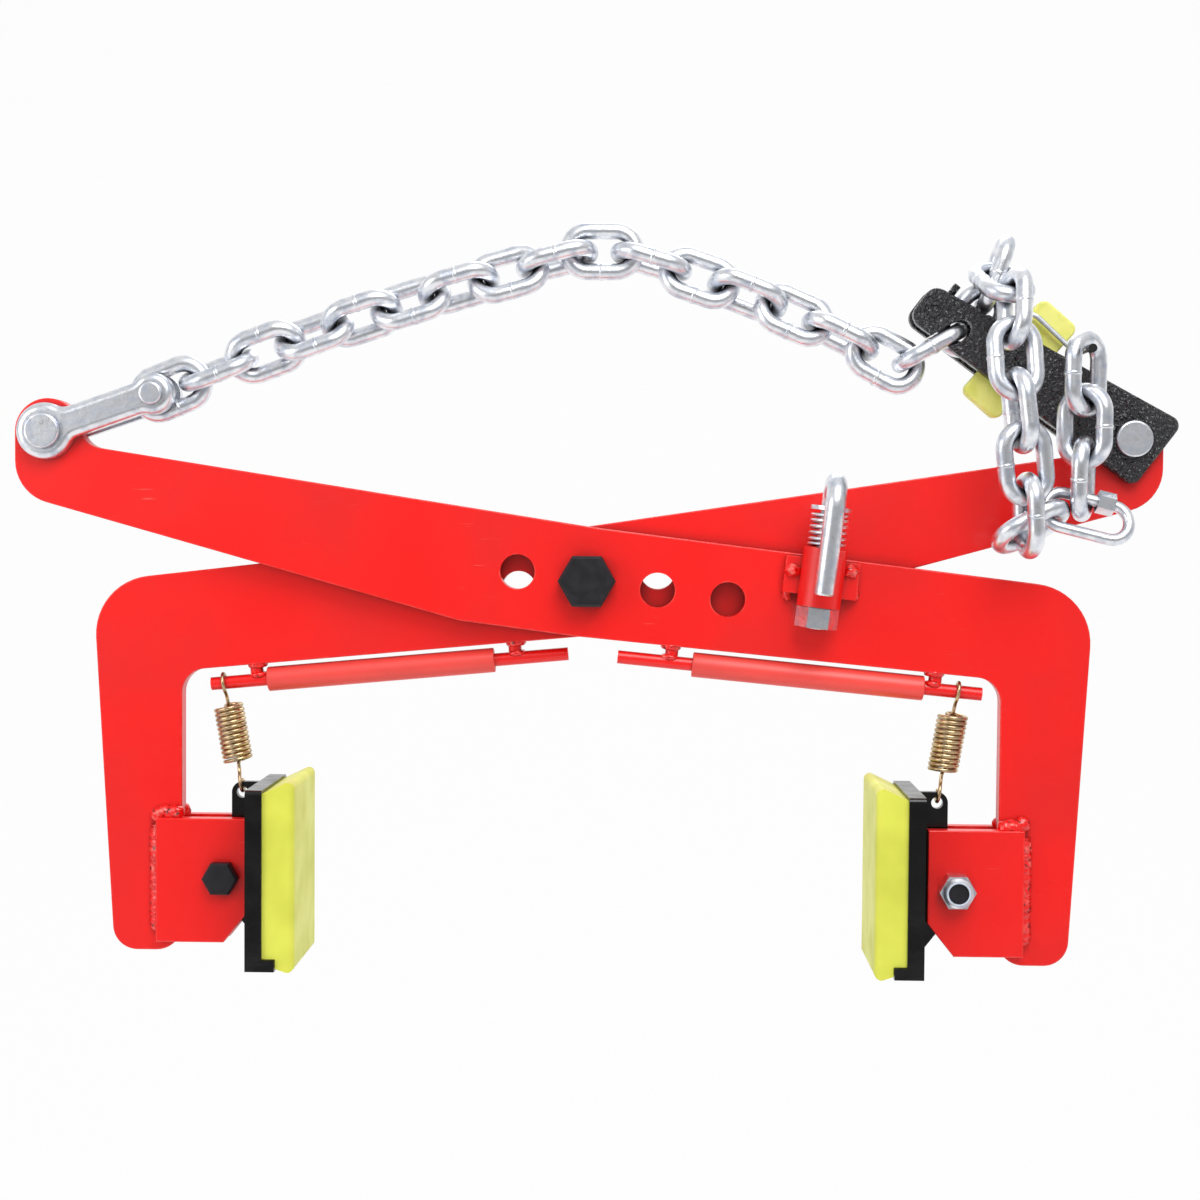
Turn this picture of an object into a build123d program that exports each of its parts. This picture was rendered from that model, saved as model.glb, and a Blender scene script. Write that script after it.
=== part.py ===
from build123d import *
import os
from math import atan2, cos, pi, radians, sin, sqrt, tan

# Slab lifting clamp: two crossed arms on one bolt, closed by the pull of a lifting chain.
# Millimetres. X runs to the right jaw, Z up, Y away from the viewer. The origin is the middle of the
# lifting link, the top link of the chain, which the crane hook goes under.

# Arms: flame-cut plates, both to one outline, the back one turned over
ARM_THICK = 12
ARM_GAP = 3
EYE_X = 326
EYE_Z = 87.5
EYE_LOBE = 40
HEEL_ROUND = 26
HEEL_Z = 50
BELLY_X = 77
BELLY_Z = -24.5
KEEL_X = 6
KEEL_Z = -33.5
JAW_X = 248
JAW_Z = -57.3
JAW_ROUND = 15
LEG_FOOT_Z = -229.5
LEG_FOOT_X = 290
LEG_FOOT_ROUND = 15
LEG_HEEL_ROUND = 16
SHOULDER_X = 303
SHOULDER_Z = -3.6
SHOULDER_ROUND = 36
CROWN_X = 8
CROWN_Z = 31.5
EYE_NECK_ROUND = 14
EDGE_ROUND = 0.8

# Pivot: one bolt through the second of four holes
PIVOT_BOLT = 20
PIVOT_HOLE = 21
PIVOT_HOLE_STEP = 42.5
PIVOT_HOLE_FALL = 7.1
PIVOT_HEX = 30
PIVOT_HEAD = 12.5
PIVOT_NUT = 18
PIVOT_CHAMFER = 1.5
PIVOT_BOLT_END = 3
WASHER_THICK = 3
PIVOT_WASHER = 37
HEAD_WASHER = 29
RUNNING_FIT = 0.05
SIDE_PLAY = 0.3

# Jaw lugs, one plate on each face of an arm's lower end
LUG_THICK = 8
LUG_INNER_X = 205
LUG_OUTER_X = 262.5
LUG_TOP_Z = -147
LUG_FOOT_Z = -223
LUG_CUT_X = 16
LUG_CUT_Z = 20
PAD_BOLT = 12
PAD_BOLT_X = 222
PAD_BOLT_Z = -183
PAD_HEX = 19
PAD_HEAD = 7.5
PAD_HEAD_CHAMFER = 1
PAD_BOLT_END = -2
PAD_NUT = 12
PAD_NUT_HEX_HIGH = 8.4
PAD_NUT_COLLAR = 18
PAD_NUT_CHAMFER = 1.5

# Pad holders and pads
HOLDER_FACE_X = 191
HOLDER_THICK = 10
HOLDER_TOP_Z = -125
HOLDER_FOOT_Z = -233
HOLDER_WIDE = 84
HOLDER_ROUND = 3
LIP_DEEP = 7.5
LIP_THICK = 7
TONGUE_THICK = 11
TONGUE_ROUND = 14
TONGUE_TOP_Z = -140
TONGUE_FOOT_Z = -224
EAR_THICK = 5
EAR_X = 211.5
EAR_Z = -132
EAR_ROUND = 6.5
EAR_HOLE = 7
PAD_THICK = 19
PAD_TOP_Z = -127
PAD_FLARE = 9
PAD_WIDE = 80
PAD_CORNER = 4
PAD_DRIP = 9.5

# Pad springs: close-wound extension springs with a hook at each end
SPRING_WIRE = 2.2
SPRING_OUTER = 18
SPRING_TURNS = 12
SPRING_PITCH = 2.9
HOOK_ROOM = 0.5
HOOK_NECK = 0.35

# Handles under the arms
HANDLE_ROD = 8
HANDLE_DROP = 10
HANDLE_OUTER_X = 231
HANDLE_INNER_X = 12
HANDLE_STUB_OUTER_X = 202.5
HANDLE_STUB_INNER_X = 44
RIGHT_HANDLE_SHIFT = 6.5
GRIP_OUTER = 15
GRIP_EDGE_ROUND = 0.8
GRIP_OUTER_X = 196
GRIP_INNER_X = 57
SPRING_SEAT_X = 223

# Hold hook: a bent bar, pushed up by a spring, in a tube welded to the front arm
TUBE_OUTER = 26
TUBE_LONG = 35
TUBE_ALONG = 141
TUBE_TOP_RISE = 5
TUBE_FLAT = 1
GUSSET_THICK = 8
GUSSET_WIDE = 9
GUSSET_HIGH = 22
HOOK_BAR = 12
HOOK_SPAN = 28
HOOK_RISE = 39
HOOK_TIP_DROP = 27
HOOK_END_CHAMFER = 1
COLLAR_OUTER = 24
COLLAR_THICK = 2.5
HOOK_SPRING_WIRE = 2
HOOK_SPRING_OUTER = 23
HOOK_SPRING_TURNS = 6
HOOK_SPRING_END_PITCH = 2.7
HOOK_NUT = 12
HOOK_NUT_HEX = 22
HOOK_THREAD_END = 0.6

# Chain
LINK_WIRE = 10
LINK_INNER = 31
LINK_INNER_WIDE = 14.5
LINK_PLAY = 0.3
OPEN_PLAY = 3
LEFT_LINKS = 9
LEFT_HEADING_TOP = 15
LEFT_HEADING_END = 22.5
RIGHT_LINKS = 6
RIGHT_HEADING_TOP = 16
RIGHT_HEADING_END = 28
TURN_UP_HEADING = 30

# Clevis at the left end of the chain
CLEVIS_LONG = 69
CLEVIS_HEADING = 19.2
CLEVIS_THICK = 10
CLEVIS_ROUND = 4.5
CLEVIS_ARM_EYE = 34
CLEVIS_NECK = 19
CLEVIS_CHAIN_EYE = 25
CLEVIS_ARM_PIN = 16
CLEVIS_ARM_PIN_HEAD = 21
CLEVIS_CHAIN_PIN = 12
CLEVIS_CHAIN_PIN_HEAD = 13.5
PIN_HEAD_THICK = 4
PIN_CHAMFER = 1
PIN_TAIL = 8
COTTER = 3
CHEEK_PLAY = 0.5

# Chain grab at the right end of the chain
GRAB_CHEEK = 8
GRAB_TAIL = 18
GRAB_TAIL_TOP = 26
GRAB_TAIL_FOOT = 22.5
GRAB_NOSE = 32
GRAB_NOSE_TOP = 1
GRAB_NOSE_FOOT = 24
GRAB_TAIL_ROUND = 6
GRAB_NOSE_ROUND = 8
GRAB_EDGE_ROUND = 2
GRAB_PEG = 4.5
GRAB_PEG_RISE = 6.5
GRAB_PEG_BACK = 12
SLOT_HEADING = 44
NOTCH_ROOM = 1
NOTCH_LONG = 40
GRAB_PIN = 16
GRAB_PIN_HEAD = 22
CROSS_PIN = 7
CROSS_PIN_STAND = 0.5
NOSE_PIN_AHEAD = 21.8
NOSE_PIN_DROP = 12
TAIL_PIN_ALONG = 36
TAIL_PIN_DROP = 8
KEEPER_LONG = 74
KEEPER_WIDE = 28
KEEPER_THICK = 12
KEEPER_ALONG = 82
KEEPER_RISE = -2
KEEPER_LEAN = 49
KEEPER_PIN = 8
KEEPER_CORNER = 5
KEEPER_EDGE_ROUND = 1.5
HANGER_WIRE = 3
HANGER_ALONG = 95
HANGER_RISE = 24
HANGER_BEND = 5
HANGER_REACH = 10
HANGER_PLAY = 0.3
HANGER_FRONT = 13
HANGER_TIP = 5
HANGER_TIP_LONG = 6

# Quick link that closes the chain's tail
QUICK_WIRE = 7
QUICK_INNER = 44
QUICK_INNER_WIDE = 15
QUICK_NUT_LONG = 10
QUICK_NUT_HEX = 12
QUICK_NUT_AHEAD = 9.5
QUICK_GAP = 7
QUICK_HANG_BACK = 4.4
QUICK_FALL = 14
HANG_PLAY = 0.9

os.makedirs("parts", exist_ok=True)

ARM_MID = (ARM_GAP + ARM_THICK) / 2
FRONT_FACE = -ARM_GAP / 2 - ARM_THICK
LEFT, RIGHT = -1, 1
ACROSS = Vector(0, 1, 0)


def save(piece, name):
    """Label a finished piece and write it to its own file."""
    piece.part.label = name
    export_step(piece.part, f"parts/{name}.step")


def heading(degrees_up, drift=0.0):
    """A direction in the plane of the arms, with a little drift across it."""
    level = sqrt(1 - drift * drift)
    return Vector(cos(radians(degrees_up)) * level, drift, sin(radians(degrees_up)) * level)


# Chain layout. Each link is a middle, a direction and a normal.

LINK_REACH = (LINK_INNER + LINK_WIRE) / 2
LINK_SEAT = (LINK_INNER - LINK_WIRE) / 2 - LINK_PLAY
LINK_BEND = (LINK_INNER_WIDE + LINK_WIRE) / 2
LINK_HALF = LINK_REACH - LINK_BEND
LINK_SLACK = LINK_BEND - LINK_WIRE - LINK_PLAY
FACING_ROLL = 10


def rolled(along, roll):
    """The normal of a link that runs along a direction, turned about it from facing the viewer."""
    flat = Vector(0, -1, 0) - along * along.dot(Vector(0, -1, 0))
    return flat.normalized().rotate(Axis((0, 0, 0), along), roll)


def next_link(middle, along_before, along):
    """The middle of a link hooked into one before it, for a slight turn."""
    between = (along_before + along).normalized()
    return middle + along_before * LINK_REACH - between * (LINK_WIRE + LINK_PLAY) + along * LINK_REACH


def turn_in(middle, along_before, along):
    """The middle of a link hooked into one before it that lies in the plane of the turn."""
    return middle + along_before * LINK_HALF + along * (LINK_SLACK + LINK_REACH)


def turn_out(middle, along_before, along):
    """The middle of a link that lies in the plane of its turn out of the one before it."""
    return middle + along_before * (LINK_REACH + LINK_SLACK) + along * LINK_HALF


def walk(middle, along, headings, rolls, drift):
    """Links hooked one into the next, from a link that is already placed and faces the viewer."""
    links = []
    hooked = turn_in
    for turn, roll in zip(headings, rolls):
        onward = heading(turn, drift)
        middle = hooked(middle, along, onward)
        along = onward
        hooked = turn_in if abs(roll) < FACING_ROLL else next_link
        links.append((middle, along, rolled(along, roll)))
    return links


LEFT_STEP = (LEFT_HEADING_END - LEFT_HEADING_TOP) / (LEFT_LINKS - 1)
LEFT_RUN = (LEFT_LINKS - 1) * (LINK_INNER - LINK_PLAY) + LINK_REACH + LINK_INNER / 2
LEFT_ROLLS = [-74, 26, -55, 40, -45, 50, -28, 74, 0]
left_run = walk(
    Vector(OPEN_PLAY, 0, 0),
    Vector(-1, 0, 0),
    [180 + LEFT_HEADING_TOP + LEFT_STEP * i for i in range(LEFT_LINKS)],
    LEFT_ROLLS,
    -ARM_MID / LEFT_RUN,
)
RIGHT_STEP = (RIGHT_HEADING_END - RIGHT_HEADING_TOP) / (RIGHT_LINKS - 1)
RIGHT_RUN = (RIGHT_LINKS + 1) * (LINK_INNER - LINK_PLAY)
RIGHT_ROLLS = [80, -20, 58, -24, 74, -5, 90]
right_run = walk(
    Vector(0, 0, 0),
    Vector(1, 0, 0),
    [-RIGHT_HEADING_TOP - RIGHT_STEP * i for i in range(RIGHT_LINKS)] + [TURN_UP_HEADING],
    RIGHT_ROLLS,
    ARM_MID / RIGHT_RUN,
)

# The clevis follows from the left run, the arms' eyes from the clevis, and the pivot from the eyes
first_middle, first_along, _ = left_run[-1]
pin_spot = first_middle + first_along * ((LINK_INNER - CLEVIS_CHAIN_PIN) / 2 - LINK_PLAY)
CHAIN_PIN = Vector(pin_spot.X, -ARM_MID, pin_spot.Z)
LEFT_EYE = CHAIN_PIN + heading(180 + CLEVIS_HEADING) * CLEVIS_LONG
PIVOT_X = LEFT_EYE.X + EYE_X
PIVOT_Z = LEFT_EYE.Z - EYE_Z
RIGHT_EYE = Vector(PIVOT_X + EYE_X, ARM_MID, PIVOT_Z + EYE_Z)
print(f"pivot {PIVOT_X:.2f} {PIVOT_Z:.2f}, left eye {LEFT_EYE.X:.2f} {LEFT_EYE.Y:.2f} {LEFT_EYE.Z:.2f}")


def scissor(depth):
    """A plane across the pivot at a depth, seen from the front, with the pivot as its origin."""
    return Plane(origin=(PIVOT_X, depth, PIVOT_Z), x_dir=(1, 0, 0), z_dir=(0, -1, 0))


def point(x, depth, z):
    """A point given from the pivot."""
    return Vector(PIVOT_X + x, depth, PIVOT_Z + z)


def hexagon(across_flats, turn=0):
    """A regular hexagon by its width across flats, in the open sketch."""
    return RegularPolygon(across_flats / 2, 6, major_radius=False, rotation=turn)


# Arms

PIVOT_HOLE_SLANT = radians(PIVOT_HOLE_FALL)
PIVOT_HOLES = [
    (PIVOT_HOLE_STEP * i * cos(PIVOT_HOLE_SLANT), -PIVOT_HOLE_STEP * i * sin(PIVOT_HOLE_SLANT))
    for i in (-1, 0, 1, 2)
]


def round_outer_edges(plate, face, radius):
    """Round the outline of a plate's front face, the first, or of its back face, the last."""
    fillet(plate.faces().filter_by(Axis.Y).sort_by(Axis.Y)[face].outer_wire().edges(), radius)


def make_arm(side, back_face, eye_hole):
    """One arm, with its jaw on the given side and its chain eye on the other."""
    outline = [
        (-EYE_X - EYE_LOBE / 2, EYE_Z),
        (-EYE_X - EYE_LOBE / 2, HEEL_Z),
        (-BELLY_X, BELLY_Z),
        (-KEEL_X, KEEL_Z),
        (JAW_X, JAW_Z),
        (JAW_X, LEG_FOOT_Z),
        (LEG_FOOT_X, LEG_FOOT_Z),
        (SHOULDER_X, SHOULDER_Z),
        (CROWN_X, CROWN_Z),
        (-EYE_X, EYE_Z - EYE_LOBE / 8),
        (-EYE_X, EYE_Z),
    ]
    rounds = [
        ((-EYE_X - EYE_LOBE / 2, HEEL_Z), HEEL_ROUND),
        ((JAW_X, JAW_Z), JAW_ROUND),
        ((JAW_X, LEG_FOOT_Z), LEG_HEEL_ROUND),
        ((LEG_FOOT_X, LEG_FOOT_Z), LEG_FOOT_ROUND),
        ((SHOULDER_X, SHOULDER_Z), SHOULDER_ROUND),
    ]
    with BuildPart() as arm:
        with BuildSketch(scissor(back_face)) as plate:
            with BuildLine():
                Polyline(*[(side * x, z) for x, z in outline], close=True)
            make_face()
            for (x, z), radius in rounds:
                fillet(plate.vertices().sort_by_distance((side * x, z))[0], radius)
            with Locations((-side * EYE_X, EYE_Z)):
                Circle(EYE_LOBE / 2)
            neck = (-side * (EYE_X - EYE_LOBE / 2), EYE_Z)
            fillet(plate.vertices().sort_by_distance(neck)[0], EYE_NECK_ROUND)
            with Locations(*[(side * x, z) for x, z in PIVOT_HOLES]):
                Circle(PIVOT_HOLE / 2, mode=Mode.SUBTRACT)
            with Locations((-side * EYE_X, EYE_Z)):
                Circle(eye_hole / 2, mode=Mode.SUBTRACT)
        extrude(amount=ARM_THICK)
        for face in (0, -1):
            round_outer_edges(arm, face, EDGE_ROUND)
    return arm


save(make_arm(RIGHT, -ARM_GAP / 2, CLEVIS_ARM_PIN + 2 * RUNNING_FIT), "front_arm")
save(make_arm(LEFT, ARM_GAP / 2 + ARM_THICK, GRAB_PIN + 2 * RUNNING_FIT), "back_arm")

# Pivot bolt, spacer between the arms, washers under the head and the nut

HEAD_SEAT = FRONT_FACE - WASHER_THICK
NUT_SEAT = -HEAD_SEAT

with BuildPart() as pivot_bolt:
    with BuildSketch(scissor(NUT_SEAT + PIVOT_NUT + PIVOT_BOLT_END)):
        Circle(PIVOT_BOLT / 2)
    extrude(amount=NUT_SEAT + PIVOT_NUT + PIVOT_BOLT_END - HEAD_SEAT)
    with BuildSketch(scissor(HEAD_SEAT)):
        hexagon(PIVOT_HEX)
    extrude(amount=PIVOT_HEAD)
    chamfer(pivot_bolt.faces().sort_by(Axis.Y)[0].edges(), PIVOT_CHAMFER)
    chamfer(pivot_bolt.faces().sort_by(Axis.Y)[-1].edges(), PIVOT_CHAMFER)
save(pivot_bolt, "pivot_bolt")

with BuildPart() as pivot_nut:
    with BuildSketch(scissor(NUT_SEAT + PIVOT_NUT)):
        hexagon(PIVOT_HEX)
        Circle(PIVOT_BOLT / 2 + RUNNING_FIT, mode=Mode.SUBTRACT)
    extrude(amount=PIVOT_NUT)
    chamfer(pivot_nut.faces().sort_by(Axis.Y)[-1].outer_wire().edges(), PIVOT_CHAMFER)
save(pivot_nut, "pivot_nut")

with BuildPart() as pivot_washers:
    for back, across in ((HEAD_SEAT + WASHER_THICK, HEAD_WASHER), (NUT_SEAT, PIVOT_WASHER)):
        with BuildSketch(scissor(back)):
            Circle(across / 2)
            Circle(PIVOT_BOLT / 2 + RUNNING_FIT, mode=Mode.SUBTRACT)
        extrude(amount=WASHER_THICK)
save(pivot_washers, "pivot_washers")

with BuildPart() as pivot_spacer:
    with BuildSketch(scissor(ARM_GAP / 2)):
        Circle(PIVOT_WASHER / 2)
        Circle(PIVOT_BOLT / 2 + RUNNING_FIT, mode=Mode.SUBTRACT)
    extrude(amount=ARM_GAP)
save(pivot_spacer, "pivot_spacer")

# Jaw lugs, pad bolts and nuts. The two bolts go in from opposite faces.


def jaw_faces(side):
    """The front and back depth of the arm whose jaw is on that side."""
    middle = -side * ARM_MID
    return middle - ARM_THICK / 2, middle + ARM_THICK / 2


def make_lugs(side):
    """The two plates that hold a pad holder's tongue between them."""
    front, back = jaw_faces(side)
    outline = [
        (LUG_INNER_X, LUG_TOP_Z),
        (LUG_OUTER_X, LUG_TOP_Z),
        (LUG_OUTER_X, LUG_FOOT_Z),
        (LUG_INNER_X + LUG_CUT_X, LUG_FOOT_Z),
        (LUG_INNER_X, LUG_FOOT_Z + LUG_CUT_Z),
    ]
    with BuildPart() as lugs:
        for plate_back in (front, back + LUG_THICK):
            with BuildSketch(scissor(plate_back)):
                with BuildLine():
                    Polyline(*[(side * x, z) for x, z in outline], close=True)
                make_face()
                with Locations((side * PAD_BOLT_X, PAD_BOLT_Z)):
                    Circle(PAD_BOLT / 2 + RUNNING_FIT, mode=Mode.SUBTRACT)
            extrude(amount=LUG_THICK)
        for face in (0, -1):
            round_outer_edges(lugs, face, EDGE_ROUND)
    return lugs


def make_pad_bolt(side, head_front):
    """A pad bolt, with its head on the front lug or on the back one."""
    front, back = jaw_faces(side)
    front, back = front - LUG_THICK, back + LUG_THICK
    near, far = (front, back) if head_front else (back, front)
    out = -1 if head_front else 1
    shank_end = far - out * (PAD_NUT + PAD_BOLT_END)
    spot = Vector(side * PAD_BOLT_X, PAD_BOLT_Z)
    with BuildPart() as bolt:
        with BuildSketch(scissor(near)):
            with Locations(spot):
                Circle(PAD_BOLT / 2)
        extrude(amount=near - shank_end)
        with BuildSketch(scissor(near)):
            with Locations(spot):
                hexagon(PAD_HEX)
        extrude(amount=-out * PAD_HEAD)
        chamfer(bolt.faces().sort_by(Axis.Y)[0 if head_front else -1].edges(), PAD_HEAD_CHAMFER)
    return bolt


def make_pad_nut(side, nut_front):
    """A locking nut on the end of a pad bolt: a hexagon under a round collar."""
    front, back = jaw_faces(side)
    seat = front - LUG_THICK if nut_front else back + LUG_THICK
    out = 1 if nut_front else -1
    spot = Vector(side * PAD_BOLT_X, PAD_BOLT_Z)
    with BuildPart() as nut:
        with BuildSketch(scissor(seat)):
            with Locations(spot):
                hexagon(PAD_HEX)
        extrude(amount=out * PAD_NUT_HEX_HIGH)
        with BuildSketch(scissor(seat)):
            with Locations(spot):
                Circle(PAD_NUT_COLLAR / 2)
        extrude(amount=out * PAD_NUT)
        chamfer(nut.faces().sort_by(Axis.Y)[0 if nut_front else -1].edges(), PAD_NUT_CHAMFER)
        with BuildSketch(scissor(seat)):
            with Locations(spot):
                Circle(PAD_BOLT / 2 + RUNNING_FIT)
        extrude(amount=out * PAD_NUT, mode=Mode.SUBTRACT)
    return nut


# Pad holders and pads


def make_holder(side):
    """A pad holder: plate, lip, tongue between the lugs and an ear for the spring."""
    front, back = jaw_faces(side)
    middle = (front + back) / 2
    plate_back_x = HOLDER_FACE_X + HOLDER_THICK
    plate_mid_x = HOLDER_FACE_X + HOLDER_THICK / 2
    tongue = [
        (plate_mid_x, TONGUE_TOP_Z),
        (plate_back_x, TONGUE_TOP_Z),
        (PAD_BOLT_X, PAD_BOLT_Z + TONGUE_ROUND),
        (PAD_BOLT_X, PAD_BOLT_Z - TONGUE_ROUND),
        (plate_back_x, TONGUE_FOOT_Z),
        (plate_mid_x, TONGUE_FOOT_Z),
    ]
    ear = [
        (plate_mid_x, EAR_Z + EAR_ROUND),
        (EAR_X, EAR_Z + EAR_ROUND),
        (EAR_X + EAR_ROUND, EAR_Z),
        (EAR_X + EAR_ROUND, PAD_BOLT_Z + TONGUE_ROUND),
        (plate_mid_x, PAD_BOLT_Z + TONGUE_ROUND),
    ]
    with BuildPart() as holder:
        with BuildSketch(scissor(HOLDER_WIDE / 2)):
            with BuildLine():
                Polyline(
                    (side * plate_back_x, HOLDER_TOP_Z),
                    (side * HOLDER_FACE_X, HOLDER_TOP_Z),
                    (side * HOLDER_FACE_X, HOLDER_FOOT_Z + LIP_THICK),
                    (side * (HOLDER_FACE_X - LIP_DEEP), HOLDER_FOOT_Z + LIP_THICK),
                    (side * (HOLDER_FACE_X - LIP_DEEP), HOLDER_FOOT_Z),
                    (side * plate_back_x, HOLDER_FOOT_Z),
                    close=True,
                )
            make_face()
        extrude(amount=HOLDER_WIDE)
        fillet(holder.edges().filter_by(Axis.X).group_by(Axis.Z)[-1], HOLDER_ROUND)
        with BuildSketch(scissor(middle + TONGUE_THICK / 2)):
            with BuildLine():
                Polyline(*[(side * x, z) for x, z in tongue], close=True)
            make_face()
            with Locations((side * PAD_BOLT_X, PAD_BOLT_Z)):
                Circle(TONGUE_ROUND)
        extrude(amount=TONGUE_THICK)
        with BuildSketch(scissor(middle + EAR_THICK / 2)):
            with BuildLine():
                Polyline(*[(side * x, z) for x, z in ear], close=True)
            make_face()
            with Locations((side * EAR_X, EAR_Z)):
                Circle(EAR_ROUND)
                Circle(EAR_HOLE / 2, mode=Mode.SUBTRACT)
        extrude(amount=EAR_THICK)
        with BuildSketch(scissor(middle + TONGUE_THICK)):
            with Locations((side * PAD_BOLT_X, PAD_BOLT_Z)):
                Circle(PAD_BOLT / 2 + RUNNING_FIT)
        extrude(amount=2 * TONGUE_THICK, mode=Mode.SUBTRACT)
    return holder


def make_pad(side):
    """A pad that flares from the holder's plate to its gripping face."""
    face_x = HOLDER_FACE_X - PAD_THICK
    lip_x = HOLDER_FACE_X - LIP_DEEP - SIDE_PLAY
    lip_z = HOLDER_FOOT_Z + LIP_THICK + SIDE_PLAY
    with BuildPart() as pad:
        with BuildSketch(scissor(PAD_WIDE / 2)):
            with BuildLine():
                Polyline(
                    (side * HOLDER_FACE_X, PAD_TOP_Z),
                    (side * face_x, PAD_TOP_Z + PAD_FLARE),
                    (side * face_x, lip_z - PAD_DRIP),
                    (side * lip_x, lip_z - PAD_DRIP + LIP_DEEP / 2),
                    (side * lip_x, lip_z),
                    (side * HOLDER_FACE_X, lip_z),
                    close=True,
                )
            make_face()
        extrude(amount=PAD_WIDE)
        face = pad.faces().sort_by(Axis.X)[0 if side == RIGHT else -1]
        fillet(face.edges(), PAD_CORNER)
    return pad


# Springs


def biarc(start, start_along, end, end_along):
    """The middle point of two arcs that leave one point and reach another along given directions."""
    v = end - start
    t = start_along + end_along
    bend = 2 * (1 - start_along.dot(end_along))
    vt = v.dot(t)
    if bend < 1e-9:
        reach = v.dot(v) / (4 * v.dot(end_along))
    else:
        reach = (sqrt(vt * vt + bend * v.dot(v)) - vt) / bend
    return (start + start_along * reach + end - end_along * reach) / 2, reach


def spring_line(stations):
    """Tangent arcs through the stations, each a point and a direction."""
    for (start, along), (end, end_along) in zip(stations, stations[1:]):
        middle, reach = biarc(start, along, end, end_along)
        turn = (middle - start).normalized()
        onward = turn * (2 * turn.dot(along)) - along
        for first, last, leaving in ((start, middle, along), (middle, end, onward)):
            if (last - first).normalized().cross(leaving).length < 1e-6:
                Line(first, last)
            else:
                TangentArc(first, last, tangent=leaving)


def coil_gap(line, wire, pitch_skip):
    """The least gap of a wound wire to itself, past the stretch next to each point."""
    count = 1500
    dots = [line @ (i / count) for i in range(count + 1)]
    skip = int(pitch_skip / line.length * count)
    least = min(
        (dots[i] - dots[j]).length
        for i in range(0, count, 4)
        for j in range(i + skip, count, 4)
    )
    return least - wire


def make_extension_spring(top, top_bar, foot, foot_bar):
    """A spring hooked over two bars, each given by its middle and its diameter."""
    down = (foot - top).normalized()
    radius = (SPRING_OUTER - SPRING_WIRE) / 2
    long = SPRING_TURNS * SPRING_PITCH
    middle = (top + foot) / 2
    side = ACROSS
    ahead = down.cross(side)
    rise = SPRING_PITCH / (2 * pi)

    def hook(centre, bar, away):
        """Stations round a bar, from the free end, with away pointing from the coil to the bar."""
        bend = bar / 2 + HOOK_ROOM + SPRING_WIRE / 2
        spots = []
        for angle in (-30, 45, 120, 180):
            c, s = cos(radians(angle)), sin(radians(angle))
            spots.append((centre + (side * c + away * s) * bend, away * c - side * s))
        return spots

    stations = hook(top, top_bar, -down)
    start = middle - down * (long / 2)
    stations.append((start - down * (radius * HOOK_NECK), down))
    for quarter in range(4 * SPRING_TURNS + 1):
        c, s = cos(quarter * pi / 2), sin(quarter * pi / 2)
        spot = start + down * (SPRING_PITCH * quarter / 4) + (side * c + ahead * s) * radius
        along = (ahead * c - side * s + down * (rise / radius)).normalized()
        stations.append((spot, along))
    end = middle + down * (long / 2)
    stations.append((end + down * (radius * HOOK_NECK), down))
    stations += [(spot, -along) for spot, along in reversed(hook(foot, foot_bar, down))]
    with BuildPart() as spring:
        with BuildLine() as line:
            spring_line(stations)
        wire = line.wire()
        with BuildSketch(wire ^ 0):
            Circle(SPRING_WIRE / 2)
        sweep(path=wire)
    print(f"pad spring gap {coil_gap(wire, SPRING_WIRE, 4 * SPRING_WIRE):.2f}, volume share "
          f"{spring.part.volume / (wire.length * pi * SPRING_WIRE ** 2 / 4):.3f}")
    return spring


# Handles

HANDLE_TILT = atan2(KEEL_Z - JAW_Z, JAW_X + KEEL_X)


def edge_z(x):
    """The height of an arm's lower edge between its keel and its jaw."""
    return KEEL_Z - (x + KEEL_X) * tan(HANDLE_TILT)


def on_handle(side, x):
    """A point on a handle's axis."""
    return point(side * x, -side * ARM_MID, edge_z(x) - HANDLE_DROP / cos(HANDLE_TILT))


def make_handle_rod(side):
    """A rod under an arm, on two short stubs. The right one is welded on farther out."""
    shift = RIGHT_HANDLE_SHIFT if side == RIGHT else 0
    start, end = on_handle(side, HANDLE_OUTER_X + shift), on_handle(side, HANDLE_INNER_X + shift)
    with BuildPart() as rod:
        with BuildSketch(Plane(origin=start, z_dir=end - start)):
            Circle(HANDLE_ROD / 2)
        extrude(amount=(end - start).length)
        for x in (HANDLE_STUB_OUTER_X, HANDLE_STUB_INNER_X):
            foot = on_handle(side, x + shift)
            stub_up = Vector(side * sin(HANDLE_TILT), 0, cos(HANDLE_TILT))
            with BuildSketch(Plane(origin=foot, z_dir=stub_up)):
                Circle(HANDLE_ROD / 2)
            extrude(amount=HANDLE_DROP)
    return rod


def make_grip(side):
    """The sleeve that the hand holds."""
    shift = RIGHT_HANDLE_SHIFT if side == RIGHT else 0
    start, end = on_handle(side, GRIP_OUTER_X + shift), on_handle(side, GRIP_INNER_X + shift)
    with BuildPart() as grip:
        with BuildSketch(Plane(origin=start, z_dir=end - start)):
            Circle(GRIP_OUTER / 2)
            Circle(HANDLE_ROD / 2 + RUNNING_FIT, mode=Mode.SUBTRACT)
        extrude(amount=(end - start).length)
        for rim in grip.faces().filter_by(GeomType.PLANE):
            fillet(rim.outer_wire().edges(), GRIP_EDGE_ROUND)
    return grip


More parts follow.
